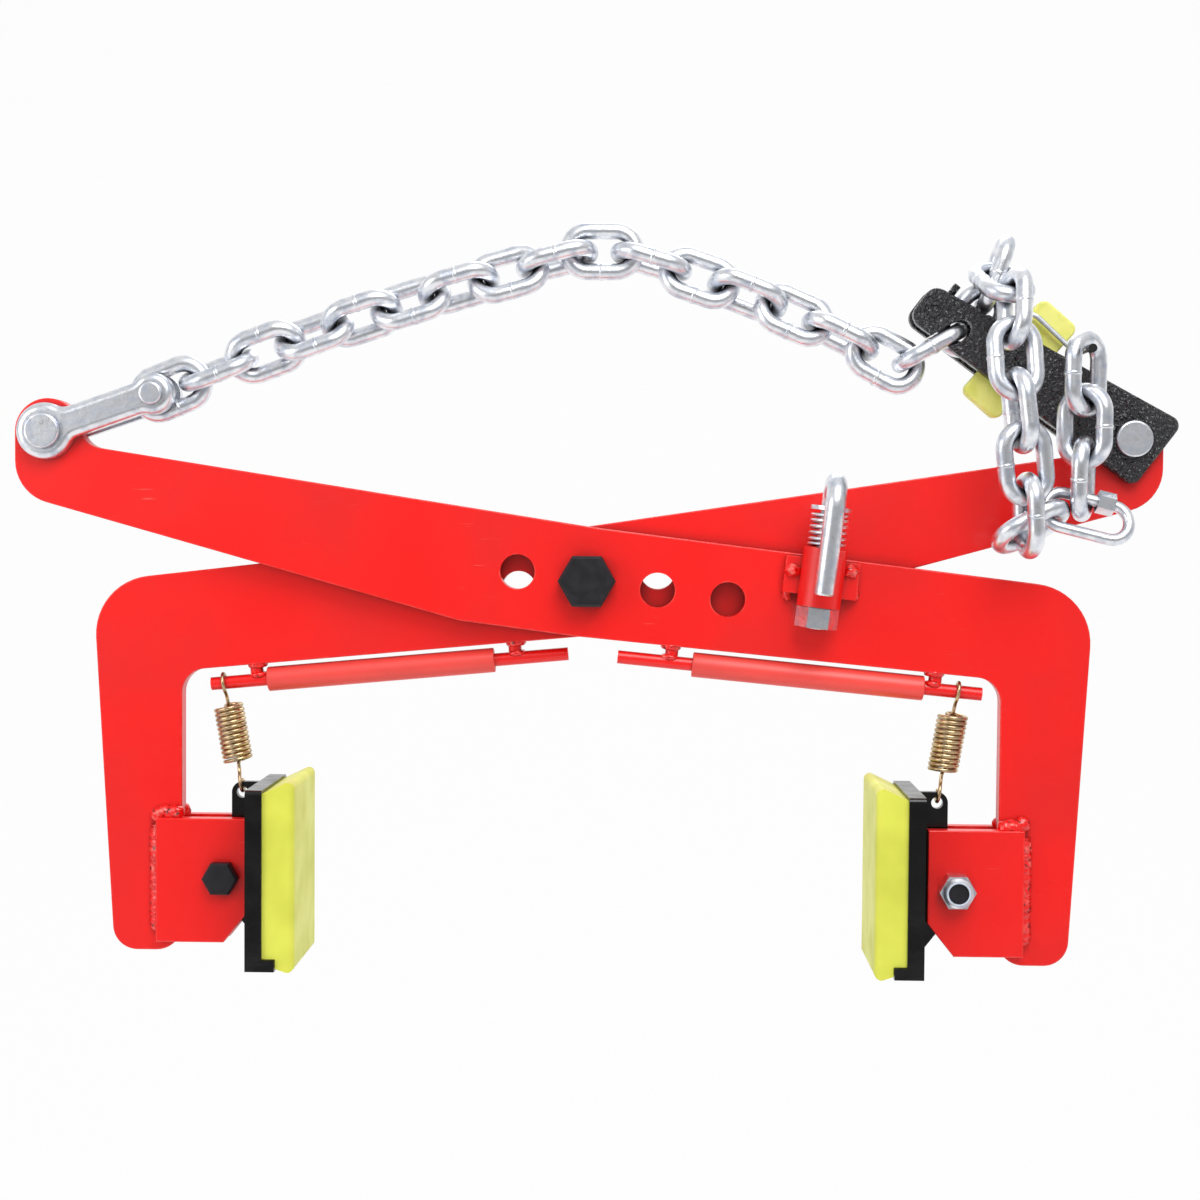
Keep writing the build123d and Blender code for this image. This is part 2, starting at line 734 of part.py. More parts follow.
for side, word in ((LEFT, "left"), (RIGHT, "right")):
    head_front = side == LEFT
    save(make_lugs(side), f"{word}_jaw_lugs")
    save(make_pad_bolt(side, head_front), f"{word}_pad_bolt")
    save(make_pad_nut(side, not head_front), f"{word}_pad_nut")
    save(make_holder(side), f"{word}_pad_holder")
    save(make_pad(side), f"{word}_pad")
    save(make_handle_rod(side), f"{word}_handle_rod")
    save(make_grip(side), f"{word}_handle_grip")
    rod_seat = on_handle(side, SPRING_SEAT_X)
    ear_hole = point(side * EAR_X, -side * ARM_MID, EAR_Z)
    rim = EAR_ROUND - EAR_HOLE / 2
    ear_seat = ear_hole + (rod_seat - ear_hole).normalized() * ((EAR_HOLE + rim) / 2)
    spring = make_extension_spring(rod_seat, HANDLE_ROD, ear_seat, sqrt(EAR_THICK**2 + rim**2))
    save(spring, f"{word}_pad_spring")

# Hold hook, its tube, spring and nut

TOP_TILT = atan2(CROWN_Z - SHOULDER_Z, SHOULDER_X - CROWN_X)
HOOK_UP = Vector(sin(TOP_TILT), 0, cos(TOP_TILT))
TUBE_DEPTH = FRONT_FACE - TUBE_OUTER / 2 + TUBE_FLAT
top_edge = point(TUBE_ALONG, TUBE_DEPTH, CROWN_Z - (TUBE_ALONG - CROWN_X) * tan(TOP_TILT))
TUBE_TOP = top_edge + HOOK_UP * TUBE_TOP_RISE
BEND_START = HOOK_RISE - HOOK_SPAN / 2


def across_hook(rise):
    """A plane square to the hook's bar, at a height over the tube's top."""
    return Plane(origin=TUBE_TOP + HOOK_UP * rise, x_dir=ACROSS, z_dir=HOOK_UP)


with BuildPart() as hook_tube:
    with BuildSketch(across_hook(-TUBE_LONG)):
        Circle(TUBE_OUTER / 2)
    extrude(amount=TUBE_LONG)
    with BuildSketch(across_hook(-(TUBE_LONG + GUSSET_HIGH) / 2)):
        with Locations((TUBE_OUTER / 2 - TUBE_FLAT - GUSSET_THICK / 2, 0)):
            Rectangle(GUSSET_THICK, TUBE_OUTER + 2 * GUSSET_WIDE)
    extrude(amount=GUSSET_HIGH)
    with BuildSketch(across_hook(-TUBE_LONG)):
        Circle(HOOK_BAR / 2 + RUNNING_FIT)
    extrude(amount=TUBE_LONG, mode=Mode.SUBTRACT)
    split(bisect_by=Plane(origin=(0, FRONT_FACE, 0), z_dir=(0, -1, 0)), keep=Keep.TOP)
save(hook_tube, "hook_tube")

with BuildPart() as hold_hook:
    bar_foot = -TUBE_LONG - SIDE_PLAY - HOOK_NUT - HOOK_THREAD_END
    hook_plane = Plane(origin=TUBE_TOP, x_dir=(0, -1, 0), z_dir=Vector(0, -1, 0).cross(HOOK_UP))
    with BuildLine(hook_plane) as bar:
        Line((0, bar_foot), (0, BEND_START))
        ThreePointArc((0, BEND_START), (HOOK_SPAN / 2, HOOK_RISE), (HOOK_SPAN, BEND_START))
        Line((HOOK_SPAN, BEND_START), (HOOK_SPAN, -HOOK_TIP_DROP))
    with BuildSketch(across_hook(bar_foot)):
        Circle(HOOK_BAR / 2)
    sweep(path=bar.wire())
    with BuildSketch(across_hook(BEND_START - COLLAR_THICK)):
        Circle(COLLAR_OUTER / 2)
    extrude(amount=COLLAR_THICK)
    for end in hold_hook.faces().filter_by(GeomType.PLANE).sort_by(Axis.Z)[:2]:
        chamfer(end.edges(), HOOK_END_CHAMFER)
save(hold_hook, "hold_hook")

with BuildPart() as hook_nut:
    with BuildSketch(across_hook(-TUBE_LONG - SIDE_PLAY - HOOK_NUT)):
        hexagon(HOOK_NUT_HEX, 30)
        Circle(HOOK_BAR / 2 + RUNNING_FIT, mode=Mode.SUBTRACT)
    extrude(amount=HOOK_NUT)
save(hook_nut, "hook_nut")

with BuildPart() as hook_spring:
    radius = (HOOK_SPRING_OUTER - HOOK_SPRING_WIRE) / 2
    room = BEND_START - COLLAR_THICK - HOOK_SPRING_WIRE - 2 * LINK_PLAY
    open_pitch = (room - 2 * HOOK_SPRING_END_PITCH) / (HOOK_SPRING_TURNS - 2)
    quarters = 4 * HOOK_SPRING_TURNS
    rise = HOOK_SPRING_WIRE / 2 + LINK_PLAY
    stations = []
    for quarter in range(quarters + 1):
        angle = quarter * pi / 2
        pitch = HOOK_SPRING_END_PITCH if quarter < 4 or quarter >= quarters - 4 else open_pitch
        out = ACROSS * cos(angle) + Vector(0, -1, 0).cross(HOOK_UP) * sin(angle)
        ahead = Vector(0, -1, 0).cross(HOOK_UP) * cos(angle) - ACROSS * sin(angle)
        along = (ahead * radius + HOOK_UP * (pitch / (2 * pi))).normalized()
        stations.append((TUBE_TOP + HOOK_UP * rise + out * radius, along))
        rise += pitch / 4
    with BuildLine() as line:
        spring_line(stations)
    wire = line.wire()
    with BuildSketch(wire ^ 0):
        Circle(HOOK_SPRING_WIRE / 2)
    sweep(path=wire)
print(f"hook spring gap {coil_gap(wire, HOOK_SPRING_WIRE, 4 * HOOK_SPRING_WIRE):.2f}, volume share "
      f"{hook_spring.part.volume / (wire.length * pi * HOOK_SPRING_WIRE ** 2 / 4):.3f}")
save(hook_spring, "hook_spring")

# Clevis: two forged cheeks beside the arm's eye, with a pin through the eye and one through the chain


def along_clevis(depth):
    """A plane across the clevis at a depth, with its X from the arm's eye to the chain."""
    return Plane(origin=(LEFT_EYE.X, depth, LEFT_EYE.Z), x_dir=heading(CLEVIS_HEADING), z_dir=(0, -1, 0))


CLEVIS_HALF = ARM_THICK / 2 + CHEEK_PLAY
CLEVIS_FRONT = -ARM_MID - CLEVIS_HALF - CLEVIS_THICK
CLEVIS_BACK = -ARM_MID + CLEVIS_HALF + CLEVIS_THICK

with BuildPart() as clevis_cheeks:
    for back in (CLEVIS_FRONT + CLEVIS_THICK, CLEVIS_BACK):
        with BuildSketch(along_clevis(back)) as cheek:
            Circle(CLEVIS_ARM_EYE / 2)
            with Locations((CLEVIS_LONG, 0)):
                Circle(CLEVIS_CHAIN_EYE / 2)
            with Locations((CLEVIS_LONG / 2, 0)):
                Rectangle(CLEVIS_LONG, CLEVIS_NECK)
            fillet(cheek.vertices(), CLEVIS_NECK / 2)
            Circle(CLEVIS_ARM_PIN / 2 + RUNNING_FIT, mode=Mode.SUBTRACT)
            with Locations((CLEVIS_LONG, 0)):
                Circle(CLEVIS_CHAIN_PIN / 2 + RUNNING_FIT, mode=Mode.SUBTRACT)
        extrude(amount=CLEVIS_THICK)
    for face in (0, -1):
        round_outer_edges(clevis_cheeks, face, CLEVIS_ROUND)
save(clevis_cheeks, "clevis_cheeks")


def make_pin(plane_at, spot, front, back, pin, head):
    """A headed pin with a hole for its cotter, given the depths that it holds together."""
    with BuildPart() as made:
        with BuildSketch(plane_at(back + PIN_TAIL)):
            with Locations((spot, 0)):
                Circle(pin / 2)
        extrude(amount=back + PIN_TAIL - front)
        with BuildSketch(plane_at(front)):
            with Locations((spot, 0)):
                Circle(head / 2)
        extrude(amount=PIN_HEAD_THICK)
        fillet(made.faces().sort_by(Axis.Y)[0].edges(), PIN_HEAD_THICK / 3)
        chamfer(made.faces().sort_by(Axis.Y)[-1].edges(), PIN_CHAMFER)
        cross = plane_at(back + PIN_TAIL / 2)
        with BuildSketch(Plane(origin=cross.from_local_coords((spot, -pin, 0)), z_dir=cross.y_dir)):
            Circle(COTTER / 2 + RUNNING_FIT)
        extrude(amount=2 * pin, mode=Mode.SUBTRACT)
    return made


def make_cotter(plane_at, spot, back, pin):
    """A split pin: a ring that stops it, and a leg through the pin's end."""
    cross = plane_at(back + PIN_TAIL / 2)
    ring = COTTER
    with BuildPart() as made:
        with BuildSketch(Plane(origin=cross.from_local_coords((spot, -pin, 0)), z_dir=cross.y_dir)):
            Circle(COTTER / 2)
        extrude(amount=pin * 1.5 + ring)
        middle = cross.from_local_coords((spot, pin / 2 + 2 * ring, 0))
        with BuildSketch(Plane(origin=middle, x_dir=cross.x_dir, z_dir=cross.y_dir)):
            with Locations((ring, 0)):
                Circle(COTTER / 2)
        revolve(axis=Axis(middle, cross.z_dir))
    return made


save(
    make_pin(along_clevis, 0, CLEVIS_FRONT, CLEVIS_BACK, CLEVIS_ARM_PIN, CLEVIS_ARM_PIN_HEAD),
    "clevis_arm_pin",
)
save(
    make_pin(along_clevis, CLEVIS_LONG, CLEVIS_FRONT, CLEVIS_BACK, CLEVIS_CHAIN_PIN, CLEVIS_CHAIN_PIN_HEAD),
    "clevis_chain_pin",
)
save(make_cotter(along_clevis, 0, CLEVIS_BACK, CLEVIS_ARM_PIN), "clevis_arm_cotter")
save(make_cotter(along_clevis, CLEVIS_LONG, CLEVIS_BACK, CLEVIS_CHAIN_PIN), "clevis_chain_cotter")

# Chain links


def make_links(links):
    """Chain links as one piece of separate solids."""
    half, bend = LINK_HALF, LINK_BEND
    with BuildPart() as made:
        for middle, along, normal in links:
            plane = Plane(origin=middle, x_dir=along, z_dir=normal)
            with BuildLine(plane) as loop:
                Line((-half, bend), (half, bend))
                ThreePointArc((half, bend), (half + bend, 0), (half, -bend))
                Line((half, -bend), (-half, -bend))
                ThreePointArc((-half, -bend), (-half - bend, 0), (-half, bend))
            with BuildSketch(Plane(origin=plane.from_local_coords((-half, bend, 0)), z_dir=along)):
                Circle(LINK_WIRE / 2)
            sweep(path=loop.wire())
    return made


save(make_links([(Vector(0, 0, 0), Vector(1, 0, 0), Vector(0, -1, 0))]), "lifting_link")
for number, link in enumerate(reversed(left_run), start=1):
    save(make_links([link]), f"chain_link_{number:02d}")
for number, link in enumerate(right_run, start=LEFT_LINKS + 2):
    save(make_links([link]), f"chain_link_{number:02d}")

# Chain grab: two cheeks beside the back arm's eye. The chain comes up between them through a slot, and the
# link after the slot sits across their top edges.

end_middle, end_along, _ = right_run[-1]
slot_along = heading(SLOT_HEADING)
end_wire = end_middle + end_along * LINK_REACH
slot_spot = turn_out(end_middle, end_along, slot_along)
SLOT = Vector(slot_spot.X, ARM_MID, slot_spot.Z)
GRAB_ALONG = (SLOT - RIGHT_EYE).normalized()
GRAB_UP = ACROSS.cross(GRAB_ALONG)
SLOT_ALONG = (SLOT - RIGHT_EYE).length
save(make_links([(SLOT, slot_along, Vector(0, -1, 0))]), "chain_link_18")

TAIL_HEADING = 71
tail_up = heading(TAIL_HEADING)
tail_start = turn_in(SLOT, slot_along, tail_up)
notch_ends = [(end_wire, -end_along), (tail_start - tail_up * LINK_REACH, tail_up)]

GRAB_INSIDE = ARM_THICK / 2 + CHEEK_PLAY
GRAB_FRONT = ARM_MID - GRAB_INSIDE - GRAB_CHEEK
GRAB_BACK = ARM_MID + GRAB_INSIDE + GRAB_CHEEK


def along_grab(depth):
    """A plane across the grab at a depth, from the arm's eye, with X to the nose and Y down."""
    return Plane(origin=(RIGHT_EYE.X, depth, RIGHT_EYE.Z), x_dir=GRAB_ALONG, z_dir=(0, -1, 0))


def on_grab(along, rise, depth):
    """A point given along the grab and over its axis."""
    spot = RIGHT_EYE + GRAB_ALONG * along + GRAB_UP * rise
    return Vector(spot.X, depth, spot.Z)


def top_of_grab(along):
    """The height of the cheeks' top edge over the grab's axis."""
    share = (along + GRAB_TAIL) / (SLOT_ALONG + GRAB_NOSE + GRAB_TAIL)
    return GRAB_TAIL_TOP + (GRAB_NOSE_TOP - GRAB_TAIL_TOP) * share


KEEPER_SPOT = (KEEPER_ALONG, -KEEPER_RISE)
CROSS_SPOTS = [(SLOT_ALONG + NOSE_PIN_AHEAD, NOSE_PIN_DROP), (TAIL_PIN_ALONG, TAIL_PIN_DROP)]
HANGER_FOOT = top_of_grab(HANGER_ALONG) - HANGER_REACH


def make_cheek(back, front_one):
    """One cheek of the grab. The front one has a peg on its top edge and a hole for the hanger wire."""
    nose = SLOT_ALONG + GRAB_NOSE
    with BuildPart() as cheek:
        with BuildSketch(along_grab(back)) as plate:
            with BuildLine():
                Polyline(
                    (-GRAB_TAIL, -GRAB_TAIL_TOP),
                    (nose, -GRAB_NOSE_TOP),
                    (nose, GRAB_NOSE_FOOT),
                    (-GRAB_TAIL, GRAB_TAIL_FOOT),
                    close=True,
                )
            make_face()
            fillet(plate.vertices().group_by(Axis.X)[0], GRAB_TAIL_ROUND)
            fillet(plate.vertices().group_by(Axis.X)[-1], GRAB_NOSE_ROUND)
            Circle(GRAB_PIN / 2 + RUNNING_FIT, mode=Mode.SUBTRACT)
            with Locations(KEEPER_SPOT):
                Circle(KEEPER_PIN / 2 + RUNNING_FIT, mode=Mode.SUBTRACT)
            with Locations(*CROSS_SPOTS):
                Circle(CROSS_PIN / 2 + RUNNING_FIT, mode=Mode.SUBTRACT)
        extrude(amount=GRAB_CHEEK)
        round_outer_edges(cheek, 0 if front_one else -1, GRAB_EDGE_ROUND)
        for spot, out in notch_ends:
            mouth = Plane(origin=(spot.X, back, spot.Z), x_dir=(out.X, 0, out.Z), z_dir=(0, -1, 0))
            with BuildSketch(mouth):
                Circle(LINK_WIRE / 2 + NOTCH_ROOM)
                with Locations((NOTCH_LONG / 2, 0)):
                    Rectangle(NOTCH_LONG, LINK_WIRE + 2 * NOTCH_ROOM)
            extrude(amount=GRAB_CHEEK, mode=Mode.SUBTRACT)
        if front_one:
            middle = back - GRAB_CHEEK / 2
            peg_along = nose - GRAB_PEG_BACK
            peg_foot = on_grab(peg_along, top_of_grab(peg_along) - GRAB_PEG, middle)
            with BuildSketch(Plane(origin=peg_foot, z_dir=GRAB_UP)):
                Circle(GRAB_PEG / 2)
            extrude(amount=GRAB_PEG + GRAB_PEG_RISE)
            with BuildSketch(Plane(origin=on_grab(HANGER_ALONG, HANGER_FOOT, middle), z_dir=GRAB_UP)):
                Circle(HANGER_WIRE / 2 + RUNNING_FIT)
            extrude(amount=2 * HANGER_REACH, mode=Mode.SUBTRACT)
    return cheek


save(make_cheek(GRAB_FRONT + GRAB_CHEEK, True), "grab_front_cheek")
save(make_cheek(GRAB_BACK, False), "grab_rear_cheek")

with BuildPart() as grab_arm_pin:
    with BuildSketch(along_grab(GRAB_BACK + CHEEK_PLAY)):
        Circle(GRAB_PIN / 2)
    extrude(amount=GRAB_BACK - GRAB_FRONT + 2 * CHEEK_PLAY)
    for seat in (GRAB_FRONT - CHEEK_PLAY, GRAB_BACK + CHEEK_PLAY + PIN_HEAD_THICK):
        with BuildSketch(along_grab(seat)):
            Circle(GRAB_PIN_HEAD / 2)
        extrude(amount=PIN_HEAD_THICK)
    fillet(grab_arm_pin.faces().sort_by(Axis.Y)[0].edges(), PIN_HEAD_THICK / 3)
    fillet(grab_arm_pin.faces().sort_by(Axis.Y)[-1].edges(), PIN_HEAD_THICK / 3)
save(grab_arm_pin, "grab_arm_pin")

with BuildPart() as grab_cross_pins:
    with BuildSketch(along_grab(GRAB_BACK + CROSS_PIN_STAND)):
        with Locations(*CROSS_SPOTS):
            Circle(CROSS_PIN / 2)
    extrude(amount=GRAB_BACK - GRAB_FRONT + 2 * CROSS_PIN_STAND)
save(grab_cross_pins, "grab_cross_pins")

with BuildPart() as keeper_pin:
    with BuildSketch(along_grab(GRAB_BACK + CROSS_PIN_STAND)):
        with Locations(KEEPER_SPOT):
            Circle(KEEPER_PIN / 2)
    extrude(amount=GRAB_BACK - GRAB_FRONT + 2 * CROSS_PIN_STAND)
save(keeper_pin, "keeper_pin")

with BuildPart() as grab_keeper:
    middle = on_grab(KEEPER_ALONG, KEEPER_RISE, ARM_MID + KEEPER_THICK / 2)
    with BuildSketch(Plane(origin=middle, x_dir=heading(KEEPER_LEAN), z_dir=(0, -1, 0))):
        RectangleRounded(KEEPER_LONG, KEEPER_WIDE, KEEPER_CORNER)
        Circle(KEEPER_PIN / 2 + RUNNING_FIT, mode=Mode.SUBTRACT)
    extrude(amount=KEEPER_THICK)
    for face in (0, -1):
        round_outer_edges(grab_keeper, face, KEEPER_EDGE_ROUND)
save(grab_keeper, "grab_keeper")

# Chain tail: over the front cheek, down in front of the arm, and from the quick link up to the hanger wire


def square_to(along, toward):
    """A direction square to another, as near as can be to the one asked for."""
    return (toward - along * along.dot(toward)).normalized()


def facing(degrees_round):
    """A level direction, by its angle from X."""
    return Vector(cos(radians(degrees_round)), sin(radians(degrees_round)), 0)


OVER = Vector(0.2, -0.9, -0.45).normalized()
OVER_SLACK = 1
OVER_LIFT = -2.8
FALL = [
    (Vector(-0.06, -0.32, -0.94).normalized(), 19.5),
    (Vector(0.05, -0.18, -0.98).normalized(), -76),
    (Vector(0.12, -0.02, -0.98).normalized(), 14),
    (Vector(0.12, 0.08, -0.98).normalized(), -77),
    (Vector(0.05, 0.05, -1).normalized(), 11),
]
LAST = Vector(0.88, 0, 0.47).normalized()
LAST_UP = Vector(0, 0.4, 0.92)
LAST_DROP = 9.9
LAST_SLACK = 4
tail = [(tail_start, tail_up, tail_up.cross(ACROSS))]
over_bar = tail_start + tail_up * OVER_LIFT - ACROSS * LINK_BEND
middle = over_bar + OVER * (LINK_SEAT - OVER_SLACK)
tail.append((middle, OVER, square_to(OVER, Vector(0, 0, 1))))
along = OVER
hooked = turn_out
for onward, round_by in FALL:
    middle = hooked(middle, along, onward)
    along = onward
    hooked = next_link
    tail.append((middle, along, square_to(along, facing(round_by))))
to_back = along.cross(tail[-1][2])
last_bar = middle + to_back * (LINK_BEND if to_back.Y > 0 else -LINK_BEND) + along * LAST_DROP
middle = last_bar + LAST * (LINK_SEAT - LAST_SLACK)
tail.append((middle, LAST, square_to(LAST, LAST_UP)))
save(make_links(tail), "tail_front_links")

QUICK_ALONG = heading(-QUICK_FALL)
QUICK_BACK = square_to(QUICK_ALONG, Vector(0.2, 0.36, 0.9))
QUICK_BEND = (QUICK_INNER_WIDE + QUICK_WIRE) / 2
QUICK_HALF = (QUICK_INNER + QUICK_WIRE) / 2 - QUICK_BEND
QUICK_SLACK = QUICK_BEND - (LINK_WIRE + QUICK_WIRE) / 2 - 6.5 * LINK_PLAY
quick_middle = middle + LAST * (LINK_REACH + QUICK_SLACK) + QUICK_ALONG * QUICK_HALF
quick_plane = Plane(origin=quick_middle, x_dir=QUICK_ALONG, z_dir=QUICK_ALONG.cross(QUICK_BACK))

with BuildPart() as quick_link:
    near = QUICK_NUT_AHEAD - QUICK_GAP / 2
    far = QUICK_NUT_AHEAD + QUICK_GAP / 2
    with BuildLine(quick_plane) as loop:
        Line((near, QUICK_BEND), (-QUICK_HALF, QUICK_BEND))
        ThreePointArc((-QUICK_HALF, QUICK_BEND), (-QUICK_HALF - QUICK_BEND, 0), (-QUICK_HALF, -QUICK_BEND))
        Line((-QUICK_HALF, -QUICK_BEND), (QUICK_HALF, -QUICK_BEND))
        ThreePointArc((QUICK_HALF, -QUICK_BEND), (QUICK_HALF + QUICK_BEND, 0), (QUICK_HALF, QUICK_BEND))
        Line((QUICK_HALF, QUICK_BEND), (far, QUICK_BEND))
    with BuildSketch(Plane(origin=quick_plane.from_local_coords((near, QUICK_BEND, 0)), z_dir=-QUICK_ALONG)):
        Circle(QUICK_WIRE / 2)
    sweep(path=loop.wire())
save(quick_link, "quick_link")

with BuildPart() as quick_link_nut:
    nut_start = QUICK_NUT_AHEAD - QUICK_NUT_LONG / 2
    nut_spot = quick_plane.from_local_coords((nut_start, QUICK_BEND, 0))
    with BuildSketch(Plane(origin=nut_spot, z_dir=QUICK_ALONG)):
        hexagon(QUICK_NUT_HEX)
        Circle(QUICK_WIRE / 2 + RUNNING_FIT, mode=Mode.SUBTRACT)
    extrude(amount=QUICK_NUT_LONG)
save(quick_link_nut, "quick_link_nut")

RISE_TURNS = [
    (Vector(0, -0.1, 0.98).normalized(), 68),
    (Vector(0, -0.03, 1).normalized(), -35),
    (Vector(0, 0, 1), 42),
]
along, roll = RISE_TURNS[0]
hang_bar = quick_plane.from_local_coords((-QUICK_HANG_BACK, QUICK_BEND, 0))
middle = hang_bar + along * ((LINK_INNER - QUICK_WIRE) / 2 - HANG_PLAY)
rear_links = [(middle, along, rolled(along, roll))]
for onward, roll in RISE_TURNS[1:]:
    middle = next_link(middle, along, onward)
    along = onward
    rear_links.append((middle, along, rolled(along, roll)))
save(make_links(rear_links), "tail_rear_links")

with BuildPart() as keeper_wire:
    hang = middle + along * ((LINK_INNER - HANGER_WIRE) / 2 - HANGER_PLAY)
    depth = GRAB_FRONT + GRAB_CHEEK / 2
    foot = on_grab(HANGER_ALONG, HANGER_FOOT, depth)
    with BuildLine() as path:
        FilletPolyline(
            foot,
            on_grab(HANGER_ALONG, HANGER_RISE, depth),
            Vector(hang.X, depth, hang.Z),
            Vector(hang.X, hang.Y - HANGER_FRONT, hang.Z),
            radius=HANGER_BEND,
        )
    with BuildSketch(Plane(origin=foot, z_dir=GRAB_UP)):
        Circle(HANGER_WIRE / 2)
    sweep(path=path.wire())
    with BuildSketch(Plane(origin=(hang.X, hang.Y - HANGER_FRONT, hang.Z), z_dir=(0, -1, 0))):
        Circle(HANGER_TIP / 2)
    extrude(amount=HANGER_TIP_LONG)
save(keeper_wire, "keeper_wire")
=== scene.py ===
import math
import random

import bmesh
import bpy
from bpy.props import FloatProperty, FloatVectorProperty, IntProperty, PointerProperty
import numpy
from mathutils import Matrix, Vector, noise


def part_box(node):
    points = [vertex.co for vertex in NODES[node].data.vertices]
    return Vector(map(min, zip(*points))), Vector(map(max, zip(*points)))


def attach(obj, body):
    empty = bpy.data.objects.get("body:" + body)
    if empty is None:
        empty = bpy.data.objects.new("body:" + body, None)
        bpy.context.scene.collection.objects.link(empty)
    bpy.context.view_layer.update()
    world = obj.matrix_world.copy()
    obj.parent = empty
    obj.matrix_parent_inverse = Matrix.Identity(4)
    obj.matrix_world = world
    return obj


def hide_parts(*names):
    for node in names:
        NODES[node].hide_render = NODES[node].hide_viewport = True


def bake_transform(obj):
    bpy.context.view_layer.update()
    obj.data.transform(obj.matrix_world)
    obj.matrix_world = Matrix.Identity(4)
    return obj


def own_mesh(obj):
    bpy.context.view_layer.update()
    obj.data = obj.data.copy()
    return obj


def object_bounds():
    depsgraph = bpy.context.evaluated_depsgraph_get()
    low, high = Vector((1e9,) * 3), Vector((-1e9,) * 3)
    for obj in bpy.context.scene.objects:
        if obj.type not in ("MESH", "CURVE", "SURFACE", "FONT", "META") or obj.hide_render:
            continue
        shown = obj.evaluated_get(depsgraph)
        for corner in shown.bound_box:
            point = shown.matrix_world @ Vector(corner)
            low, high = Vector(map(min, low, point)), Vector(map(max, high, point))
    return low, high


bl_info = {
    "name": "Slab lifting clamp",
    "version": (1, 0, 0),
    "blender": (4, 5, 0),
    "location": "3D View > Sidebar > Clamp",
    "description": "Finishes, welds, threads and a plain studio for a slab lifting clamp",
    "category": "Object",
}

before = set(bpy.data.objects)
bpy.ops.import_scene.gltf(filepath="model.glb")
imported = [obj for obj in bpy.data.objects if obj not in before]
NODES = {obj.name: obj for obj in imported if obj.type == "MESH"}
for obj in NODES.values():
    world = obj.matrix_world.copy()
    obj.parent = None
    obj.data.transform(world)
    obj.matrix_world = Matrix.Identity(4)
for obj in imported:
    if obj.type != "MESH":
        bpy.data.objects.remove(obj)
CAD_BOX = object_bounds()
MM = 0.001
ACROSS = Vector((0, 1, 0))
UP = Vector((0, 0, 1))

# The middle of the pivot bolt, about which the arms turn
PIVOT = sum(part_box("pivot_spacer"), Vector()) / 2

# Sizes below are in millimetres.
# Handle stubs, outer and inner: distance from the pivot and height of the arm's edge there
STUBS = {"left": ((202.5, -53), (44, -38.2)), "right": ((209, -53.6), (50.5, -38.8))}
STUB_LEAN = math.radians(5.35)
STUB_RADIUS = 4
# The welds at a stub's top and foot: distance down the stub and share of the full bead
STUB_WELDS = ((0.4, 1.0), (6.8, 0.75))
STUB_ROUGH = 0.5

# Lumps on top of each jaw lug's weld: how many, where their row starts, how much shorter it is than
# the bead, how far they stand off the arm and over the lug, and how uneven they are
TOP_LUMPS = 4
TOP_LUMP_START = 1
TOP_LUMP_TRIM = 4
TOP_LUMP_OUT = 2
TOP_LUMP_RISE = 3
TOP_LUMP_ROUGH = 1

# Welds beside the hook tube: a large lump, and a smaller one below it
TUBE_LUMP = (5.2, 5, 4.2)
TUBE_LUMP_IN = 6
TUBE_LUMP_OUT = 7
TUBE_LUMP_RISE = 4
TUBE_LUMP_ROUGH = 1.6
TUBE_DRIP = (3, 3, 5)
TUBE_DRIP_STEP = (3, 5, -13)
TUBE_DRIP_ROUGH = 1.2

# The hold hook's lean, and the share of a pad spring's height that each end hook takes
HOOK_LEAN = math.radians(6.785)
SPRING_HOOK = 0.26
# How much a pad spring's wire grows so that its coils close, and the run over which that fades out
COIL_GROWTH = 0.3
COIL_FADE = 4

LOCK_RING_RADIUS = 6.75
LOCK_RING_WIRE = 0.6
LOCK_RING_SUNK = 0.25
PIVOT_RADIUS = 10
PIVOT_THREAD_LONG = 2.2
THREAD_TALL = 0.45
THREAD_SUNK = 0.05
LINK_WELD_RADIUS = 2.2
LINK_WELD_ROUGH = 0.15
# The black plastic tip of the keeper wire
TIP_LONG = 6

# Stage, in metres from here on: how far the floor is under the clamp, and the paper's half width,
# front, back, bend and height
FLOOR_DROP = 0.6
PAPER_WIDE = 8.0
PAPER_FRONT = -2.2
PAPER_BACK = 1.6
PAPER_BEND = 0.7
PAPER_TALL = 4.0
PAPER_STEPS = 12
PAPER_GLOW = 0.95
# Brightness of the room in front of the clamp and over it
ROOM_FRONT = 0.42
ROOM_TOP = 1.25
# Lamps: name, place, size and the stage value that holds the power
LAMPS = (
    ("key_lamp", (0.35, -1.15, 0.95), 1.2, "key"),
    ("fill_lamp", (-1.2, -0.9, 0.1), 1.0, "fill"),
    ("back_lamp", (0.2, 1.0, 0.9), 1.0, "fill"),
)
# The camera's sensor in millimetres
SENSOR_WIDE = 36

# Every part takes one finish
FINISHES = {
    "red_enamel": (
        "back_arm front_arm left_jaw_lugs right_jaw_lugs left_handle_rod right_handle_rod hook_tube"
    ),
    "pvc_hose": "left_handle_grip right_handle_grip",
    "gloss_black": "left_pad_holder right_pad_holder",
    "hammered_black": "grab_front_cheek grab_rear_cheek grab_cross_pins keeper_pin",
    "black_oxide": (
        "pivot_bolt pivot_nut pivot_washers pivot_spacer left_pad_bolt right_pad_bolt left_pad_nut"
    ),
    "polyurethane": "left_pad right_pad",
    "keeper_polyurethane": "grab_keeper",
    "wire_with_tip": "keeper_wire",
    "zinc_electroplate": (
        "right_pad_nut hold_hook hook_nut clevis_cheeks clevis_arm_pin "
        "clevis_chain_pin clevis_arm_cotter clevis_chain_cotter lifting_link grab_arm_pin "
        "tail_front_links tail_rear_links quick_link quick_link_nut "
        + " ".join(n for n in sorted(NODES) if n.startswith("chain_link_"))
    ),
}


